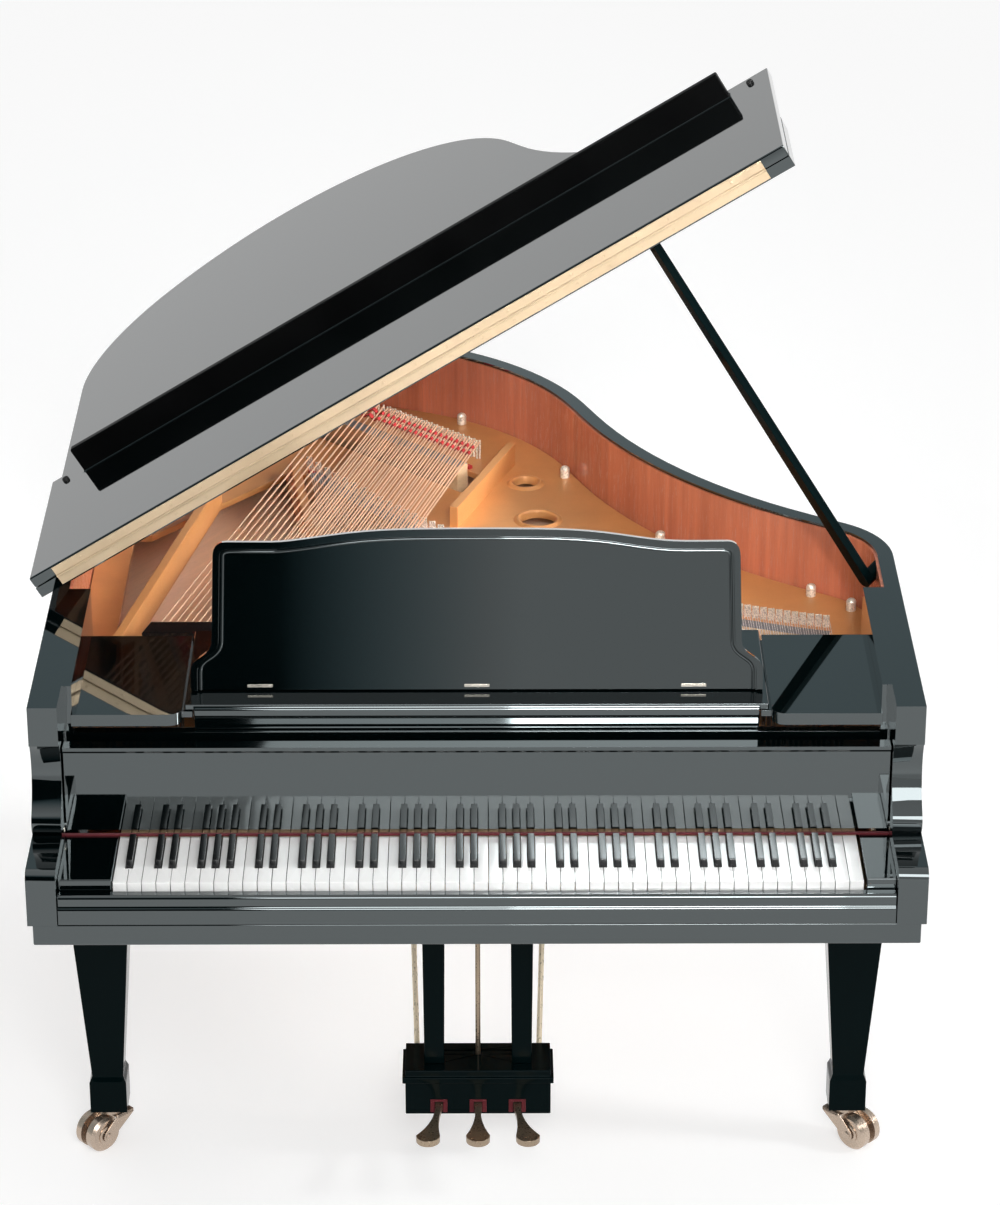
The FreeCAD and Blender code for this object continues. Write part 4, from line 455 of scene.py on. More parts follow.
@dataclass(frozen=True)
class Metal(Finish):
    """Polished, drawn or cast metal."""

    gloss: Pair = (0.8, 1.25)
    bump: float = 0.03
    depth: float = 0.0004
    grain: float = 500.0
    stain: float = 9.0
    stain_span: Pair = (0.35, 0.7)
    stretch: Point = (1.0, 1.0, 1.0)
    tarnish: float = 0.15

    def detail(self, surface: Surface) -> None:
        """Add grain and a little tarnish.

        Args:
            surface: Graph of the material.
        """
        values = {"Grain Scale": self.grain, "Stain Scale": self.stain, "Stretch": Vector(self.stretch)}
        metal = surface.use(METAL_GRAIN, values)
        stain = surface.spread(metal["Tarnish"], self.stain_span, WHOLE)
        tones = self.shade(1.0 + self.tarnish), self.shade(1.0 - self.tarnish)
        surface.put("Base Color", surface.mix(stain, *tones))
        surface.put("Roughness", self.glossed(surface, metal["Grain"]))
        surface.bump(metal["Grain"], self.bump, self.depth)


@dataclass(frozen=True)
class Winding(Finish):
    """Copper wound on a string's core."""

    tones: Pair = (0.85, 1.1)
    bump: float = 0.3
    turns: float = 220.0

    def detail(self, surface: Surface) -> None:
        """Raise the turns of the winding and vary each string.

        Args:
            surface: Graph of the material.
        """
        each = surface.use(EACH_SOLID, FULL_CHANCE)
        surface.put("Base Color", self.toned(surface, each["Value"]))
        values = {"Vector": surface.place(), "Scale": self.turns}
        coil = surface.add("ShaderNodeTexWave", values, wave_type="BANDS", bands_direction="Y")
        surface.bump(coil.outputs["Fac"], self.bump, self.depth)


@dataclass(frozen=True)
class Felt(Finish):
    """Pressed wool."""

    tones: Pair = (0.7, 1.25)
    bump: float = 0.5
    depth: float = 0.0006
    fuzz: float = 1400.0
    clump: float = 120.0

    def detail(self, surface: Surface) -> None:
        """Add fuzz and clumps.

        Args:
            surface: Graph of the material.
        """
        fibre = surface.use(WOOL_FIBRE, {"Fuzz Scale": self.fuzz, "Clump Scale": self.clump})
        surface.put("Base Color", self.toned(surface, fibre["Fuzz"]))
        surface.bump(fibre["Height"], self.bump, self.depth)


@dataclass(frozen=True)
class Banded(Finish):
    """Two materials on one piece, which change at a place along an axis."""

    tones: Pair = (0.95, 1.0)
    gloss: Pair = (0.85, 1.2)
    bump: float = 0.02
    depth: float = 0.0002
    axis: Axis = Axis.Y
    change: float = 0.0
    beyond: Colour = (0.6, 0.42, 0.25)
    beyond_dark: float = 0.8
    beyond_rough: float = 0.5
    beyond_metal: float = 0.0

    def detail(self, surface: Surface) -> None:
        """Vary each solid's shade, and change to the second material beyond the place.

        Args:
            surface: Graph of the material.
        """
        share = surface.math("GREATER_THAN", surface.along(self.axis), self.change)
        near = self.toned(surface, surface.use(EACH_SOLID, FULL_CHANCE)["Value"])
        polish = surface.use(POLISH, POLISH_SCALES)
        shaded = tuple(channel * self.beyond_dark for channel in self.beyond)
        far = surface.mix(polish["Variation"], shaded, self.beyond)
        surface.put("Base Color", surface.mix(share, near, far))
        gloss = self.glossed(surface, polish["Variation"])
        surface.put("Roughness", surface.blend(share, gloss, self.beyond_rough))
        if self.metallic != self.beyond_metal:
            surface.put("Metallic", surface.blend(share, self.metallic, self.beyond_metal))
        surface.bump(polish["Height"], self.bump, self.depth)


POLISH = Polish()
WOOD_FIGURE = WoodFigure()
METAL_GRAIN = MetalGrain()
WOOL_FIBRE = WoolFibre()
EACH_SOLID = EachSolid()
POLISH_SCALES = {"Cloud Scale": 7.0, "Fine Scale": 900.0, "Peel Scale": 40.0}
FULL_CHANCE = {"Lowest": 0.0, "Highest": 1.0}


@dataclass(frozen=True)
class Palette:
    """All finishes of the piano."""

    lacquer: Finish = Lacquer("black_polyester", (0.0006, 0.0018, 0.002), 0.03, coat=1.0, specular=0.8, cast=TEAL)
    deep: Finish = Lacquer("black_turned", (0.0006, 0.0036, 0.004), 0.12, specular=0.05, cast=TEAL)
    matte: Finish = Lacquer("black_matte", (0.0008, 0.0009, 0.001), 0.35, specular=0.06)
    rubber: Finish = Lacquer("black_rubber", (0.012, 0.012, 0.012), 0.55, specular=0.3)
    mahogany: Finish = Wood("mahogany_lining", (0.64, 0.20, 0.108), 0.24, coat=0.35, along=Axis.Z, ring=70.0,
                            dark=0.58, pale=1.22)
    spruce: Finish = Wood("spruce_soundboard", (0.90, 0.56, 0.36), 0.32, coat=0.25, figure=5.0, ring=160.0,
                          turn=32.0, dark=0.82, pale=1.08)
    raw_spruce: Finish = Wood("spruce_frame", (0.60, 0.42, 0.24), 0.55, figure=8.0, ring=90.0, dark=0.75, pale=1.1)
    maple: Finish = Wood("maple_parts", (0.66, 0.45, 0.26), 0.45, along=Axis.X, figure=12.0, ring=80.0,
                         dark=0.82, pale=1.08)
    plate: Finish = Metal("gold_bronze_plate", (0.62, 0.28, 0.095), 0.36, metallic=0.15, coat=0.15, grain=420.0,
                          tarnish=0.07, bump=0.10)
    steel: Finish = Metal("drawn_steel", (0.93, 0.89, 0.85), 0.26, metallic=0.45, grain=700.0, tarnish=0.05)
    graphite: Finish = Metal("graphite_top", (0.16, 0.16, 0.17), 0.4, metallic=0.2, tarnish=0.2)
    pin: Finish = Metal("blued_pins", (0.42, 0.43, 0.46), 0.28, metallic=1.0, grain=600.0, tarnish=0.1)
    brass: Finish = Metal("polished_brass", (0.80, 0.66, 0.42), 0.22, metallic=1.0, grain=420.0,
                          stretch=(0.2, 1.0, 1.0), tarnish=0.08)
    hinge: Finish = Metal("hinge_brass", (0.64, 0.49, 0.32), 0.36, metallic=0.35, grain=300.0,
                          stretch=(0.05, 1.0, 1.0), tarnish=0.06)
    bolt: Finish = Metal("plated_bolts", (0.84, 0.76, 0.64), 0.28, metallic=0.35, grain=300.0, tarnish=0.05)
    rod: Finish = Metal("bright_rods", (0.78, 0.72, 0.63), 0.2, metallic=1.0, grain=300.0,
                        stretch=(1.0, 1.0, 0.05), tarnish=0.06)
    brace: Finish = Metal("pale_brass", (0.80, 0.68, 0.50), 0.3, metallic=0.4, grain=300.0,
                          stretch=(1.0, 1.0, 0.05), tarnish=0.06)
    aged: Finish = Metal("aged_brass", (0.36, 0.28, 0.20), 0.30, metallic=0.9, grain=260.0, tarnish=0.18, bump=0.04)
    nickel: Finish = Metal("champagne_nickel", (0.50, 0.40, 0.32), 0.27, metallic=0.9, grain=260.0, tarnish=0.12,
                           bump=0.04)
    copper: Finish = Winding("copper_strings", (0.88, 0.58, 0.39), 0.34, metallic=0.5)
    dark_felt: Finish = Felt("dark_felt", (0.11, 0.006, 0.012), 0.95, sheen=0.1)
    red_felt: Finish = Felt("red_felt", (0.45, 0.035, 0.05), 0.95, sheen=0.2)
    white_key: Finish = Banded("white_key_top", (0.86, 0.86, 0.85), 0.10, coat=0.25, change=-0.7215)
    black_key: Finish = Banded("black_key_top", (0.006, 0.0066, 0.007), 0.16, specular=0.6, change=-0.7215)
    hammer: Finish = Banded("hammer_wood", (0.62, 0.43, 0.25), 0.5, change=-0.3622, beyond=(0.84, 0.81, 0.72),
                            beyond_rough=0.95)
    damper: Finish = Banded("damper_wire", (0.7, 0.68, 0.65), 0.3, metallic=1.0, axis=Axis.Z, change=0.8795,
                            beyond=(0.006, 0.0065, 0.007), beyond_rough=0.12)


PALETTE = Palette()


@dataclass(frozen=True)
class Softener:
    """Rounded edges that catch the light."""

    width: float = 0.0012
    segments: int = 3
    angle: float = 32.0

    def apply(self, thing: bpy.types.Object, weld: bool = True) -> None:
        """Add the modifiers to an object.

        Args:
            thing: Object to soften.
            weld: Join the doubled corners of a frame node first.
        """
        if weld:
            join = thing.modifiers.new("join", "WELD")
            join.merge_threshold = ONE_CORNER
        bevel = thing.modifiers.new("edges", "BEVEL")
        bevel.width = self.width
        bevel.segments = self.segments
        bevel.limit_method = "ANGLE"
        bevel.angle_limit = math.radians(self.angle)
        level = thing.modifiers.new("flats", "WEIGHTED_NORMAL")
        level.mode = "FACE_AREA"
        level.weight = 100


@dataclass
class Piece:
    """Builder of one extra mesh piece that rides a body."""

    name: str
    body: Body
    finish: Finish
    slot: Slot
    mesh: bmesh.types.BMesh = field(default_factory=bmesh.new)

    def block(self, low: Sequence[float], high: Sequence[float], spot: Optional[Matrix] = None) -> None:
        """Add a block between two corners.

        Args:
            low: Lowest corner.
            high: Highest corner.
            spot: Place of the corners' frame, the shared frame if left out.
        """
        centre = (Vector(low) + Vector(high)) / 2
        size = Vector(high) - Vector(low)
        shape = Matrix.Translation(centre) @ Matrix.Diagonal((*size, 1.0))
        bmesh.ops.create_cube(self.mesh, size=1.0, matrix=shape if spot is None else spot @ shape)

    def lathe(self, spot: Matrix, outline: Sequence[Pair], sides: int, ring: bool = False) -> None:
        """Add a turned shape from radius and height pairs.

        Args:
            spot: Place of its base, with its axis along local Z.
            outline: Radius and height of each circle, in order.
            sides: Count of sides.
            ring: Join the last circle to the first, in place of capping both ends.
        """
        turns = [math.tau * step / sides for step in range(sides)]
        circles = []
        for radius, height in outline:
            circles.append([spot @ Vector((radius * math.cos(turn), radius * math.sin(turn), height))
                            for turn in turns])
        self.sweep(circles, ring)

    def sweep(self, sections: Sequence[Sequence[Vector]], ring: bool = False) -> None:
        """Add a skin through sections that have the same count of points.

        Args:
            sections: Closed outlines, in order.
            ring: Join the last section to the first, in place of capping both ends.
        """
        made = [[self.mesh.verts.new(place) for place in section] for section in sections]
        pairs = list(zip(made, made[1:]))
        if ring:
            pairs.append((made[-1], made[0]))
        for lower, upper in pairs:
            for step, corner in enumerate(lower):
                after = (step + 1) % len(lower)
                self.mesh.faces.new((corner, lower[after], upper[after], upper[step]))
        if not ring:
            self.mesh.faces.new(list(reversed(made[0])))
            self.mesh.faces.new(made[-1])

    def place(self, soften: Optional[Softener] = None, smooth: float = 40.0) -> None:
        """Make the object and let it ride its body.

        Args:
            soften: Rounding of its edges.
            smooth: Largest angle that is shaded smooth, in degrees.
        """
        bmesh.ops.recalc_face_normals(self.mesh, faces=self.mesh.faces[:])
        data = bpy.data.meshes.new(self.name)
        self.mesh.to_mesh(data)
        self.mesh.free()
        thing = bpy.data.objects.new(self.name, data)
        bpy.context.scene.collection.objects.link(thing)
        for face in data.polygons:
            face.use_smooth = True
        data.set_sharp_from_angle(angle=math.radians(smooth))
        data.materials.append(self.finish.material())
        if soften is not None:
            soften.apply(thing, weld=False)
        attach(thing, self.body.value)
        LOG.info("piece %s on %s in %s", self.name, self.body.value, self.finish.name)


def facing(direction: Sequence[float], spot: Sequence[float]) -> Matrix:
    """Make a frame at a spot whose Z axis points along a direction."""
    turn = Vector(direction).to_track_quat("Z", "Y").to_matrix().to_4x4()
    return Matrix.Translation(Vector(spot)) @ turn


def profile(shares: Sequence[Pair], radius: float, height: float, inside: float = 0.0) -> List[Pair]:
    """Scale an outline's shares to a radius outside of an inner one, and to a height."""
    return [(inside + radius * out, height * up) for out, up in shares]


def cap_outline(radius: float, height: float, rings: int = 6) -> List[Pair]:
    """Outline a low round cap by its foot and the circles above it."""
    turns = [math.pi / 2 * step / (rings + 0.5) for step in range(rings + 1)]
    return [(radius * math.cos(turn), height * math.sin(turn)) for turn in turns]


def welded(node: str) -> bmesh.types.BMesh:
    """Copy a frame node's mesh with its doubled corners joined.

    Args:
        node: Name of the node.

    Returns:
        The copy.
    """
    mesh = bmesh.new()
    mesh.from_mesh(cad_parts[node].data)
    bmesh.ops.remove_doubles(mesh, verts=mesh.verts[:], dist=ONE_CORNER)
    return mesh


def rods(node: str, end: float = 0.004) -> List[Tuple[Vector, Vector]]:
    """Find the ends of each straight rod of a node that runs towards the tail.

    Args:
        node: Name of the node.
        end: Length of rod that counts as its end.

    Returns:
        Near and far end of each rod, from left to right.
    """
    mesh = welded(node)
    left = dict.fromkeys(mesh.verts)  # keeps their order, so that every run adds them up alike
    found = []
    while left:
        queue = [left.popitem()[0]]
        places = []
        while queue:
            corner = queue.pop()
            places.append(corner.co.copy())
            for edge in corner.link_edges:
                other = edge.other_vert(corner)
                if other in left:
                    del left[other]
                    queue.append(other)
        ends = []
        for limit in (min(place.y for place in places), max(place.y for place in places)):
            close = [place for place in places if abs(place.y - limit) < end]
            ends.append(sum(close, Vector()) / len(close))
        found.append((ends[0], ends[1]))
    mesh.free()
    return sorted(found, key=lambda pair: pair[1].x)


def flat_outline(node: str, normal: Vector, level: float, slack: float = 2e-4, square: float = 0.999) -> List[Vector]:
    """Outline a node's flat face, open along its longest edge.

    Args:
        node: Name of the node.
        normal: Direction that the face looks in.
        level: Place of the face along that direction.
        slack: How far from that place a facet may lie.
        square: Least cosine between that direction and a facet's.

    Returns:
        Corners from one end of the longest edge round to the other.
    """
    mesh = welded(node)
    flat = {face for face in mesh.faces if face.normal.dot(normal) > square
            and abs(face.calc_center_median().dot(normal) - level) < slack}
    border = [edge for edge in mesh.edges if sum(face in flat for face in edge.link_faces) == 1]
    longest = max(border, key=lambda edge: edge.calc_length())
    corner, last = longest.verts
    path = [corner.co.copy()]
    before = longest
    while corner != last:
        before = next(edge for edge in corner.link_edges if edge in border and edge != before)
        corner = before.other_vert(corner)
        path.append(corner.co.copy())
    mesh.free()
    return path


@dataclass
class SubAssembly:
    """A group of frame nodes with one look."""

    title: str

    def dress(self, nodes: Sequence[str], finish: Finish, soften: Optional[Softener] = None) -> None:
        """Give frame nodes a finish, and rounded edges if asked.

        Args:
            nodes: Names of the nodes.
            finish: Their finish.
            soften: Rounding of their edges.
        """
        for name in nodes:
            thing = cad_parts[name]
            thing.data.materials.clear()
            thing.data.materials.append(finish.material())
            if soften is not None:
                soften.apply(thing)
            LOG.info("%s: %s in %s", self.title, name, finish.name)

    def paint(self, node: str, finish: Finish, chosen: Callable[[bpy.types.MeshPolygon], bool]) -> None:
        """Give some faces of a dressed node another finish.

        Args:
            node: Name of the node.
            finish: The other finish.
            chosen: Tells whether a face takes it.
        """
        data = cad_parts[node].data
        data.materials.append(finish.material())
        place = len(data.materials) - 1
        count = 0
        for face in data.polygons:
            if chosen(face):
                face.material_index = place
                count += 1
        LOG.info("%s: %d faces of %s in %s", self.title, count, node, finish.name)

    def build(self) -> None:
        """Make the sub-assembly's looks."""
        raise NotImplementedError


@dataclass
class Case(SubAssembly):
    """Rim, arms, keybed, trays and legs."""

    title: str = "case"
    edge: Softener = Softener(0.0022)
    stud_spot: Pair = (-0.7355, 0.7515)
    stud_size: Pair = (0.0055, 0.0014)

    def studs(self) -> None:
        """Put a small stud on each arm's inner face, beside the fallboard."""
        low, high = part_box("key_blocks")
        piece = Piece("arm_studs", Body.CASE, PALETTE.rod, Slot.BRASS)
        for side, way in ((low.x, 1.0), (high.x, -1.0)):
            spot = facing((way, 0.0, 0.0), (side, *self.stud_spot))
            piece.lathe(spot, cap_outline(*self.stud_size), sides=24)
        piece.place()

    def build(self) -> None:
        """Dress the case."""
        black = ("outer_rim", "keybed", "key_slip", "key_blocks", "stretcher", "side_trays")
        self.dress(black, PALETTE.lacquer, self.edge)
        self.dress(("leg_bass", "leg_treble", "leg_rear"), PALETTE.deep, self.edge)
        self.dress(("inner_rim",), PALETTE.mahogany)
        self.dress(("back_frame",), PALETTE.raw_spruce)
        self.dress(("key_felt",), PALETTE.dark_felt)
        self.studs()


@dataclass
class SoundBody(SubAssembly):
    """Soundboard, bridges, plate, pins and strings."""

    title: str = "sound body"
    bridge_top: float = 0.9
    plate_edge: Softener = Softener(0.0035)
    plate_top: float = 0.858
    holes: Sequence[Tuple[float, float, float]] = ((0.1102, 0.4566, 0.024), (0.1322, 0.2856, 0.034))
    rim_size: Pair = (0.012, 0.005)
    rim_shares: Sequence[Pair] = ((0.0, -1.0), (0.0, 0.5), (0.12, 0.85), (0.3, 1.0), (0.6, 0.8), (1.0, 0.0),
                                  (0.5, -0.2))
    cloth_places: Sequence[float] = (0.030, 0.058)
    cloth_width: float = 0.013
    cloth_thick: float = 0.0012
    cloth_wave: float = 0.0036
    cloth_steps: int = 6
    bolt_top: float = 0.874
    bolt_slack: float = 1e-4
    bolt_reach: float = 0.0189
    bolt_size: Pair = (0.009, 0.007)
    bolt_corners: int = 8

    def hole_rims(self) -> None:
        """Raise a rounded rim round each hole of the plate."""
        piece = Piece("plate_hole_rims", Body.CASE, PALETTE.plate, Slot.PLATE)
        for x, y, radius in self.holes:
            outline = profile(self.rim_shares, *self.rim_size, inside=radius)
            piece.lathe(Matrix.Translation((x, y, self.plate_top)), outline, sides=56, ring=True)
        piece.place(smooth=60.0)

    def string_cloth(self) -> None:
        """Weave two strips of cloth over and under the tails of the bass strings."""
        piece = Piece("bass_string_cloth", Body.CASE, PALETTE.red_felt, Slot.FELT)
        strings = rods("bass_strings")
        ways = [(near - far).normalized() for near, far in strings]
        rise = Vector((0.0, 0.0, self.cloth_thick / 2))
        for place in self.cloth_places:
            spots = [far + way * place for (_, far), way in zip(strings, ways)]
            sections = []
            for number in range(len(spots) - 1):
                for step in range(self.cloth_steps):
                    share = step / self.cloth_steps
                    wave = self.cloth_wave * math.cos(math.pi * (number + share))
                    middle = spots[number].lerp(spots[number + 1], share) + Vector((0.0, 0.0, wave))
                    side = ways[number].lerp(ways[number + 1], share) * (self.cloth_width / 2)
                    sections.append([middle - side - rise, middle + side - rise,
                                     middle + side + rise, middle - side + rise])
            piece.sweep(sections)
        piece.place(smooth=50.0)

    def bolt_spots(self) -> List[Vector]:
        """Find the plate's bolts from the tops of the fittings.

        Returns:
            Middle of each bolt's top.
        """
        spots: List[List[Vector]] = []
        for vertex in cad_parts["plate_fittings"].data.vertices:
            if abs(vertex.co.z - self.bolt_top) > self.bolt_slack:
                continue
            near = [group for group in spots if (group[0] - vertex.co).length < self.bolt_reach]
            if near:
                near[0].append(vertex.co.copy())
            else:
                spots.append([vertex.co.copy()])
        return [sum(group, Vector()) / len(group) for group in spots if len(group) > self.bolt_corners]

    def bolt_caps(self) -> None:
        """Put a round cap on each bolt of the plate."""
        piece = Piece("plate_bolt_caps", Body.CASE, PALETTE.bolt, Slot.BRASS)
        spots = self.bolt_spots()
        for spot in spots:
            piece.lathe(Matrix.Translation(spot), cap_outline(*self.bolt_size), sides=28)
        LOG.info("%s: %d bolts", self.title, len(spots))
        piece.place()

    def build(self) -> None:
        """Dress the sound body."""
        self.dress(("soundboard",), PALETTE.spruce)
        self.dress(("bridges", "pinblock"), PALETTE.maple)
        self.paint("bridges", PALETTE.graphite, lambda face: face.normal.z > self.bridge_top)
        self.dress(("iron_plate",), PALETTE.plate, self.plate_edge)
        self.dress(("plate_fittings",), PALETTE.bolt)
        self.dress(("tuning_pins",), PALETTE.pin)
        self.dress(("plain_strings",), PALETTE.steel)
        self.dress(("bass_strings",), PALETTE.copper)
        self.dress(("string_felt",), PALETTE.red_felt)
        self.string_cloth()
        self.hole_rims()
        self.bolt_caps()


@dataclass
class Action(SubAssembly):
    """Keys, hammers, dampers and their frames."""

    title: str = "action"
    natural_edge: Softener = Softener(0.0008, 2)
    sharp_edge: Softener = Softener(0.0012, 2)

    def build(self) -> None:
        """Dress the action."""
        self.dress(("naturals_a", "naturals_b"), PALETTE.white_key, self.natural_edge)
        self.dress(("sharps_a", "sharps_b"), PALETTE.black_key, self.sharp_edge)
        self.dress(("key_frame",), PALETTE.maple)
        self.dress(("action_frame",), PALETTE.rod)
        sets = ("naturals_a", "naturals_b", "sharps_a", "sharps_b")
        self.dress([f"hammers_{keys}" for keys in sets], PALETTE.hammer)
        self.dress(("dampers",), PALETTE.damper)


@dataclass
class Fallboard(SubAssembly):
    """The board that covers the keys."""

    title: str = "fallboard"
    edge: Softener = Softener(0.0025)

    def build(self) -> None:
        """Dress the fallboard."""
        self.dress(("fallboard",), PALETTE.lacquer, self.edge)


@dataclass
class Desk(SubAssembly):
    """Music desk."""

    title: str = "music desk"
    shelf_edge: Softener = Softener(0.0025)
    panel_edge: Softener = Softener(0.0045, 6)
    leaf_edge: Softener = Softener(0.0004, 2)
    pivot: Point = (0.0177, -0.596, 0.962)
    lean: float = 15.0
    leaf_places: Sequence[float] = (-0.361, 0.0, 0.361)
    leaf_size: Tuple[float, float, float] = (0.042, 0.005, 0.001)
    face_out: float = 0.021
    foot_drop: float = 0.0108
    bead_radius: float = 0.0028
    bead_inset: float = 0.0055
    bead_sides: int = 12

    def leaves(self) -> None:
        """Put three small hinge leaves along the panel's foot."""
        spot = Matrix.Translation(Vector(self.pivot)) @ Matrix.Rotation(-math.radians(self.lean), 4, "X")
        wide, tall, thick = self.leaf_size
        piece = Piece("desk_hinge_leaves", Body.DESK_LEAF, PALETTE.rod, Slot.BRASS)
        for across in self.leaf_places:
            low = (across - wide / 2, -self.face_out - thick, -self.foot_drop)
            piece.block(low, (across + wide / 2, -self.face_out, tall - self.foot_drop), spot)
        piece.place(self.leaf_edge)

    def bead(self) -> None:
        """Run a half-round bead along the sides and top of the panel's face."""
        lean = math.radians(self.lean)
        normal = Vector((0.0, -math.cos(lean), math.sin(lean)))
        path = flat_outline("desk_panel", normal, Vector(self.pivot).dot(normal) + self.face_out)
        middle = sum(path, Vector()) / len(path)
        turns = [math.tau * step / self.bead_sides for step in range(self.bead_sides)]
        sections = []
        for number, place in enumerate(path):
            way = (path[min(number + 1, len(path) - 1)] - path[max(number - 1, 0)]).normalized()
            inward = way.cross(normal)
            if inward.dot(middle - place) < 0.0:
                inward = -inward
            centre = place + inward * self.bead_inset
            sections.append([centre + (inward * math.cos(turn) + normal * math.sin(turn)) * self.bead_radius
                             for turn in turns])
        piece = Piece("desk_panel_bead", Body.DESK_LEAF, PALETTE.lacquer, Slot.LACQUER)
        piece.sweep(sections)
        piece.place(smooth=60.0)

    def build(self) -> None:
        """Dress the desk."""
        self.dress(("desk_shelf",), PALETTE.lacquer, self.shelf_edge)
        self.dress(("desk_panel",), PALETTE.lacquer, self.panel_edge)
        self.dress(("desk_strut",), PALETTE.brass)
        self.leaves()
        self.bead()


@dataclass
class Lid(SubAssembly):
    """Lid, flap, hinges and prop."""

    title: str = "lid"
    edge: Softener = Softener(0.003)
    hinge: Pair = (-0.7344, 0.992)
    angle: float = 31.5
    span: Pair = (0.006, 1.498)
    flap_face: float = 0.0425
    lip_rise: float = 0.002
    buffer_y: float = 0.035
    buffer_inset: float = 0.035
    buffer_size: Pair = (0.0065, 0.007)
    buffer_shares: Sequence[Pair] = ((1.0, 0.0), (0.95, 0.6), (0.75, 0.9), (0.4, 1.0))
    leaf_face: float = -0.3519
    leaf_span: Pair = (0.075, 1.425)
    screw_rows: Sequence[Tuple[str, Body, float]] = (
        ("lid_hinge_screws", Body.LID, 0.0125),
        ("flap_hinge_screws", Body.FLAP, 0.032),
    )
    screw_count: int = 22
    screw_size: Pair = (0.0028, 0.0006)

    def at(self, across: float, along: float, up: float) -> Vector:
        """Find a place on the propped lid.

        Args:
            across: Distance from the hinge line over the lid.
            along: Place along the hinge line.
            up: Height over the hinge line, square to the lid.

        Returns:
            The place in the shared frame.
        """
        turn = math.radians(self.angle)
        x = self.hinge[0] + across * math.cos(turn) - up * math.sin(turn)
        return Vector((x, along, self.hinge[1] + across * math.sin(turn) + up * math.cos(turn)))

    def normal(self) -> Vector:
        """Find the direction square to the lid, away from the strings."""
        return (self.at(0.0, 0.0, 1.0) - self.at(0.0, 0.0, 0.0)).normalized()

    def buffers(self) -> None:
        """Put a rubber buffer near each end of the folded flap."""
        piece = Piece("flap_buffers", Body.FLAP, PALETTE.rubber, Slot.BLACK)
        for across in (self.span[0] + self.buffer_inset, self.span[1] - self.buffer_inset):
            spot = facing(self.normal(), self.at(across, self.buffer_y, self.flap_face))
            piece.lathe(spot, profile(self.buffer_shares, *self.buffer_size), sides=24)
        piece.place()

    def screws(self) -> None:
        """Put a row of screws in both leaves of the flap's long hinge."""
        first, last = self.leaf_span
        for name, body, level in self.screw_rows:
            piece = Piece(name, body, PALETTE.hinge, Slot.BRASS)
            for number in range(self.screw_count):
                across = first + (last - first) * (number + 0.5) / self.screw_count
                spot = facing((0.0, -1.0, 0.0), self.at(across, self.leaf_face, level))
                piece.lathe(spot, cap_outline(*self.screw_size, rings=3), sides=14)
            piece.place()

    def is_lip(self, face: bpy.types.MeshPolygon) -> bool:
        """Tell whether a face of the flap stands over it, as its lip does."""
        up = (face.center - self.at(0.0, 0.0, 0.0)).dot(self.normal())
        return up > self.flap_face + self.lip_rise

    def build(self) -> None:
        """Dress the lid."""
        self.dress(("lid_main", "lid_flap"), PALETTE.lacquer, self.edge)
        self.paint("lid_flap", PALETTE.matte, self.is_lip)
        self.dress(("lid_prop", "prop_bracket"), PALETTE.deep, self.edge)
        self.dress(("lid_hinge_rim_leaves", "lid_hinge_lid_leaves", "prop_plate"), PALETTE.brass)
        self.dress(("flap_hinge_lid_leaf", "flap_hinge_flap_leaf"), PALETTE.hinge)
        self.buffers()
        self.screws()


@dataclass
class Lyre(SubAssembly):
    """Pedal lyre."""

    title: str = "lyre"
    edge: Softener = Softener(0.002)
    pedal_edge: Softener = Softener(0.0055, 6)
    board_edge: Softener = Softener(0.0003, 2)
    felt_edge: Softener = Softener(0.0008, 2)
    pedals: Sequence[str] = ("shift", "sostenuto", "damper")
    front: float = -0.576
    wall: float = 0.012
    proud: float = 0.0012
    slot_half: float = 0.015
    slot_span: Pair = (0.098, 0.124)
    felt_side: float = 0.0076
    felt_top: float = 0.0045
    places: Sequence[float] = (-0.069, 0.0, 0.069)
    middle: float = 0.0177
    board: float = 0.0015
    cap_lap: float = 0.0055

    def bottom(self) -> None:
        """Close the box below the pedals with a thin board."""
        low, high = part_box("lyre_box")
        inset = self.wall + self.cap_lap
        piece = Piece("lyre_bottom_board", Body.CASE, PALETTE.matte, Slot.LACQUER)
        piece.block((low.x + inset, low.y + inset, low.z), (high.x - inset, high.y - inset, low.z + self.board))
        piece.place(self.board_edge)

    def collars(self) -> None:
        """Line each pedal slot with felt at its top and sides."""
        piece = Piece("pedal_slot_felts", Body.CASE, PALETTE.dark_felt, Slot.FELT)
        low, high = self.slot_span
        under = high - self.felt_top
        face, back = self.front - self.proud, self.front + self.wall
        for place in self.places:
            centre = self.middle + place
            left, right = centre - self.slot_half, centre + self.slot_half
            piece.block((left, face, under), (right, back, high))
            piece.block((left, face, low), (left + self.felt_side, back, under))
            piece.block((right - self.felt_side, face, low), (right, back, under))
        piece.place(self.felt_edge)

    def build(self) -> None:
        """Dress the lyre."""
        self.dress(("lyre_posts", "lyre_box"), PALETTE.deep, self.edge)
        self.dress(("lyre_braces",), PALETTE.brace)
        self.dress([f"pedal_rod_{pedal}" for pedal in self.pedals], PALETTE.aged)
        self.dress([f"pedal_{pedal}" for pedal in self.pedals], PALETTE.aged, self.pedal_edge)
        self.bottom()
        self.collars()


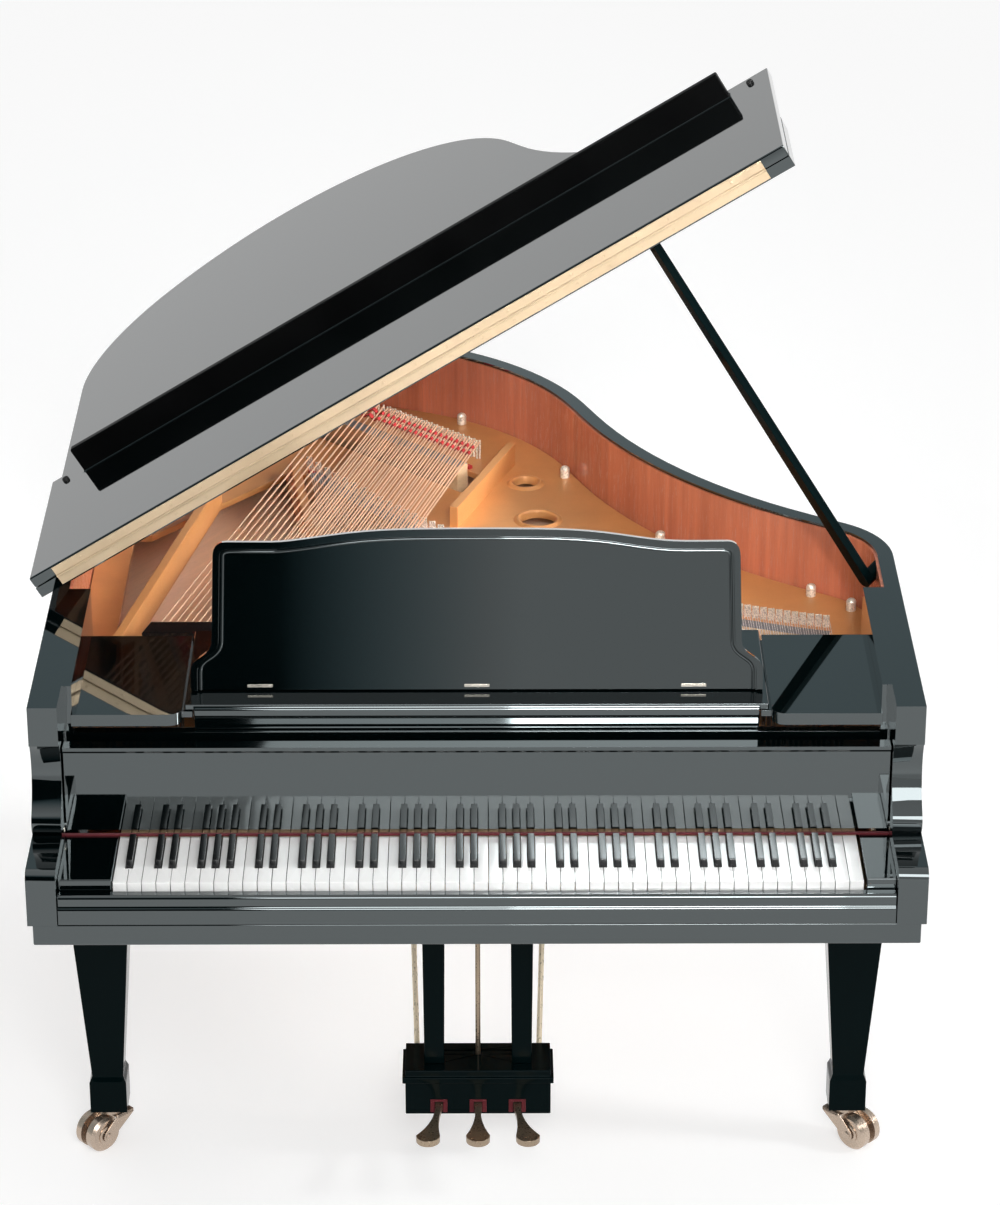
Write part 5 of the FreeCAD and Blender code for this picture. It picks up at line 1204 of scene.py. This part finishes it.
@dataclass
class Casters(SubAssembly):
    """Casters under the legs."""

    title: str = "casters"
    edge: Softener = Softener(0.002)
    yoke_edge: Softener = Softener(0.0009, 2)
    trail: float = 0.032
    level: float = 0.033
    face: float = 0.025
    cap_size: Pair = (0.017, 0.0035)
    cap_shares: Sequence[Pair] = ((1.0, 0.0), (1.0, 0.4), (0.88, 0.75), (0.62, 0.75), (0.5, 0.45), (0.34, 0.5),
                                  (0.28, 1.0), (0.1, 1.0))
    cheek_face: float = 0.0294
    cheek_thick: float = 0.0026
    cheek_end: float = 0.011
    cheek_arc: Sequence[int] = range(-135, 46, 15)
    axle_share: float = 0.6
    crown: Pair = (-0.058, -0.022)
    crown_levels: Pair = (0.0275, 0.0346)
    legs: Sequence[Tuple[str, Body, Body, float, Pair]] = (
        ("bass", Body.CASTER_BASS, Body.WHEELS_BASS, 225.0, (-0.6374, -0.506)),
        ("treble", Body.CASTER_TREBLE, Body.WHEELS_TREBLE, 315.0, (0.6728, -0.506)),
        ("rear", Body.CASTER_REAR, Body.WHEELS_REAR, 200.0, (-0.3123, 0.524)),
    )

    def hub(self, heading: float, leg: Pair) -> Matrix:
        """Find the frame at the middle of a caster's axle.

        Args:
            heading: Way that the caster trails, in degrees.
            leg: Plan place of the leg's middle.

        Returns:
            Frame with X along the trail, Y along the axle and Z up.
        """
        turn = math.radians(heading)
        spot = (leg[0] + self.trail * math.cos(turn), leg[1] + self.trail * math.sin(turn), self.level)
        return Matrix.Translation(spot) @ Matrix.Rotation(turn, 4, "Z")

    def yoke(self, side: str, body: Body, hub: Matrix) -> None:
        """Put a crown and two tapered cheeks over the wheels, with the axle's ends in them.

        Args:
            side: Name of the leg.
            body: Body of its fork.
            hub: Frame of the axle.
        """
        piece = Piece(f"caster_yoke_{side}", body, PALETTE.nickel, Slot.BRASS)
        back, front = self.crown
        low, high = self.crown_levels
        reach = self.cheek_face + self.cheek_thick
        piece.block((back, -reach, low), (front, reach, high), hub)
        arc = [math.radians(angle) for angle in self.cheek_arc]
        outline = [(self.cheek_end * math.cos(angle), self.cheek_end * math.sin(angle)) for angle in arc]
        outline += [(front, high), (back, high), (back, low)]
        for way in (1.0, -1.0):
            faces = [way * self.cheek_face, way * reach]
            piece.sweep([[hub @ Vector((along, face, up)) for along, up in outline] for face in faces])
            pin = hub @ facing((0.0, way, 0.0), (0.0, way * reach, 0.0))
            piece.lathe(pin, cap_outline(self.cheek_end * self.axle_share, self.cheek_thick), sides=24)
        piece.place(self.yoke_edge)

    def hub_caps(self, side: str, body: Body, hub: Matrix) -> None:
        """Put a round cap on the outer face of both wheels.

        Args:
            side: Name of the leg.
            body: Body of its wheels.
            hub: Frame of the axle.
        """
        piece = Piece(f"caster_caps_{side}", body, PALETTE.nickel, Slot.BRASS)
        for way in (1.0, -1.0):
            spot = hub @ facing((0.0, way, 0.0), (0.0, way * self.face, 0.0))
            piece.lathe(spot, profile(self.cap_shares, *self.cap_size), sides=32)
        piece.place()

    def build(self) -> None:
        """Dress the casters."""
        for side, fork, wheels, heading, leg in self.legs:
            self.dress((f"caster_fork_{side}", f"caster_wheels_{side}"), PALETTE.nickel, self.edge)
            hub = self.hub(heading, leg)
            self.yoke(side, fork, hub)
            self.hub_caps(side, wheels, hub)


@dataclass(frozen=True)
class Lamp:
    """A soft square lamp, whose grid lets light through in a cone."""

    name: str
    spot: Point
    target: Point
    side: float
    power: float
    cone: float

    def hang(self) -> None:
        """Add the lamp to the scene."""
        data = bpy.data.lights.new(self.name, "AREA")
        data.size = self.side
        data.spread = math.radians(self.cone)
        data.energy = self.power
        lamp = bpy.data.objects.new(self.name, data)
        lamp.location = self.spot
        way = Vector(self.target) - Vector(self.spot)
        lamp.rotation_euler = way.to_track_quat("-Z", "Y").to_euler()
        lamp.visible_camera = False
        bpy.context.scene.collection.objects.link(lamp)


@dataclass(frozen=True)
class Card:
    """A card of the room that the lacquer mirrors, which fades in along an axis."""

    axis: Axis
    span: Pair
    fade: Pair
    level: float


@dataclass
class Studio:
    """Floor, light and camera."""

    lens: float = 121.2
    eye: Point = (0.0284, -6.673, 3.961)
    pitch: float = 25.2
    yaw: float = -0.263
    reach: float = 60.0
    ground: Colour = (0.62, 0.62, 0.62)
    lift: float = 0.5
    room: float = 0.68
    dim: Colour = (0.55, 0.9, 1.0)
    back_wall: Tuple[Pair, Pair] = ((0.26, 0.42), (0.74, 0.28))
    front_wall: Tuple[Pair, Pair] = ((-0.05, 0.01), (0.0, 0.8))
    front_to_back: Pair = (-0.25, 0.05)
    side_and_top: Sequence[Card] = (
        Card(Axis.X, (0.4, 0.85), fade=(0.0, 1.0), level=0.8),
        Card(Axis.X, (-0.9, -0.55), fade=(1.0, 0.0), level=0.45),
        Card(Axis.Z, (0.62, 0.9), fade=(0.0, 1.0), level=0.9),
    )
    lamps: Sequence[Lamp] = (
        Lamp("front_light", (0.6, -5.6, 3.9), (0.0, 0.1, 0.85), side=2.6, power=170.0, cone=180.0),
        Lamp("side_light", (4.4, -0.6, 3.3), (-0.3, 0.42, 0.9), side=1.7, power=17.0, cone=30.0),
        Lamp("inner_light", (0.6, -5.4, 4.1), (0.2, 0.5, 0.92), side=1.0, power=3.4, cone=18.0),
    )

    def floor(self) -> None:
        """Lay a plain pale floor."""
        data = bpy.data.meshes.new("floor")
        corners = [(x * self.reach, y * self.reach, 0.0) for x, y in ((-1, -1), (1, -1), (1, 1), (-1, 1))]
        data.from_pydata(corners, [], [(0, 1, 2, 3)])
        ground = bpy.data.objects.new("floor", data)
        bpy.context.scene.collection.objects.link(ground)
        pale = bpy.data.materials.new("pale_floor")
        pale.use_nodes = True
        surface = Surface(pale.node_tree)
        surface.put("Base Color", self.ground)
        surface.put("Roughness", 0.9)
        surface.put("Specular IOR Level", 0.1)
        surface.put("Emission Color", WHITE)
        rays = surface.add("ShaderNodeLightPath").outputs
        seen = surface.math("MAXIMUM", rays["Is Camera Ray"], rays["Is Glossy Ray"])
        surface.put("Emission Strength", surface.math("MULTIPLY", seen, self.lift))
        data.materials.append(pale)

    def cards(self, graph: Graph) -> Value:
        """Set the bright and dark cards round the piano that the lacquer mirrors.

        Args:
            graph: Graph of the world.

        Returns:
            Output socket with their level.
        """
        way = graph.add("ShaderNodeTexCoord").outputs["Generated"]
        ways = graph.add("ShaderNodeSeparateXYZ", {0: way}).outputs
        back = graph.spread(ways[Axis.Z.value], *self.back_wall)
        front = graph.spread(ways[Axis.X.value], *self.front_wall)
        level = graph.blend(graph.spread(ways[Axis.Y.value], self.front_to_back, WHOLE), front, back)
        for card in self.side_and_top:
            share = graph.spread(ways[card.axis.value], card.span, card.fade)
            level = graph.blend(share, level, card.level)
        return level

    def sky(self) -> None:
        """Light the room softly, set the cards, and show white behind the piano."""
        world = bpy.data.worlds.new("studio")
        bpy.context.scene.world = world
        world.use_nodes = True
        graph = Graph(world.node_tree)
        inputs = world.node_tree.nodes["Background"].inputs
        rays = graph.add("ShaderNodeLightPath").outputs
        level = graph.blend(rays["Is Glossy Ray"], self.room, self.cards(graph))
        level = graph.blend(rays["Is Camera Ray"], level, 1.0)
        graph.feed(inputs["Strength"], level)
        bright = graph.spread(level, (0.0, self.room), WHOLE)
        graph.feed(inputs["Color"], graph.mix(bright, self.dim, WHITE))

    def camera(self) -> None:
        """Set the camera at the photograph's viewing angle."""
        data = bpy.data.cameras.new("camera")
        data.lens = self.lens
        data.sensor_width = 36.0
        eye = bpy.data.objects.new("camera", data)
        eye.location = self.eye
        eye.rotation_euler = (math.radians(90.0 - self.pitch), 0.0, math.radians(self.yaw))
        bpy.context.scene.collection.objects.link(eye)
        bpy.context.scene.camera = eye

    def build(self) -> None:
        """Make the studio."""
        self.floor()
        self.sky()
        for lamp in self.lamps:
            lamp.hang()
        self.camera()
        LOG.info("studio: floor, room light, %d lamps and camera", len(self.lamps))


def main() -> None:
    """Build every sub-assembly, the studio and the view settings."""
    bpy.context.scene.view_settings.view_transform = "Standard"
    assemblies: List[SubAssembly] = [Case(), SoundBody(), Action(), Fallboard(), Desk(), Lid(), Lyre(), Casters()]
    for assembly in assemblies:
        assembly.build()
    Studio().build()


if __name__ == "__main__":
    main()
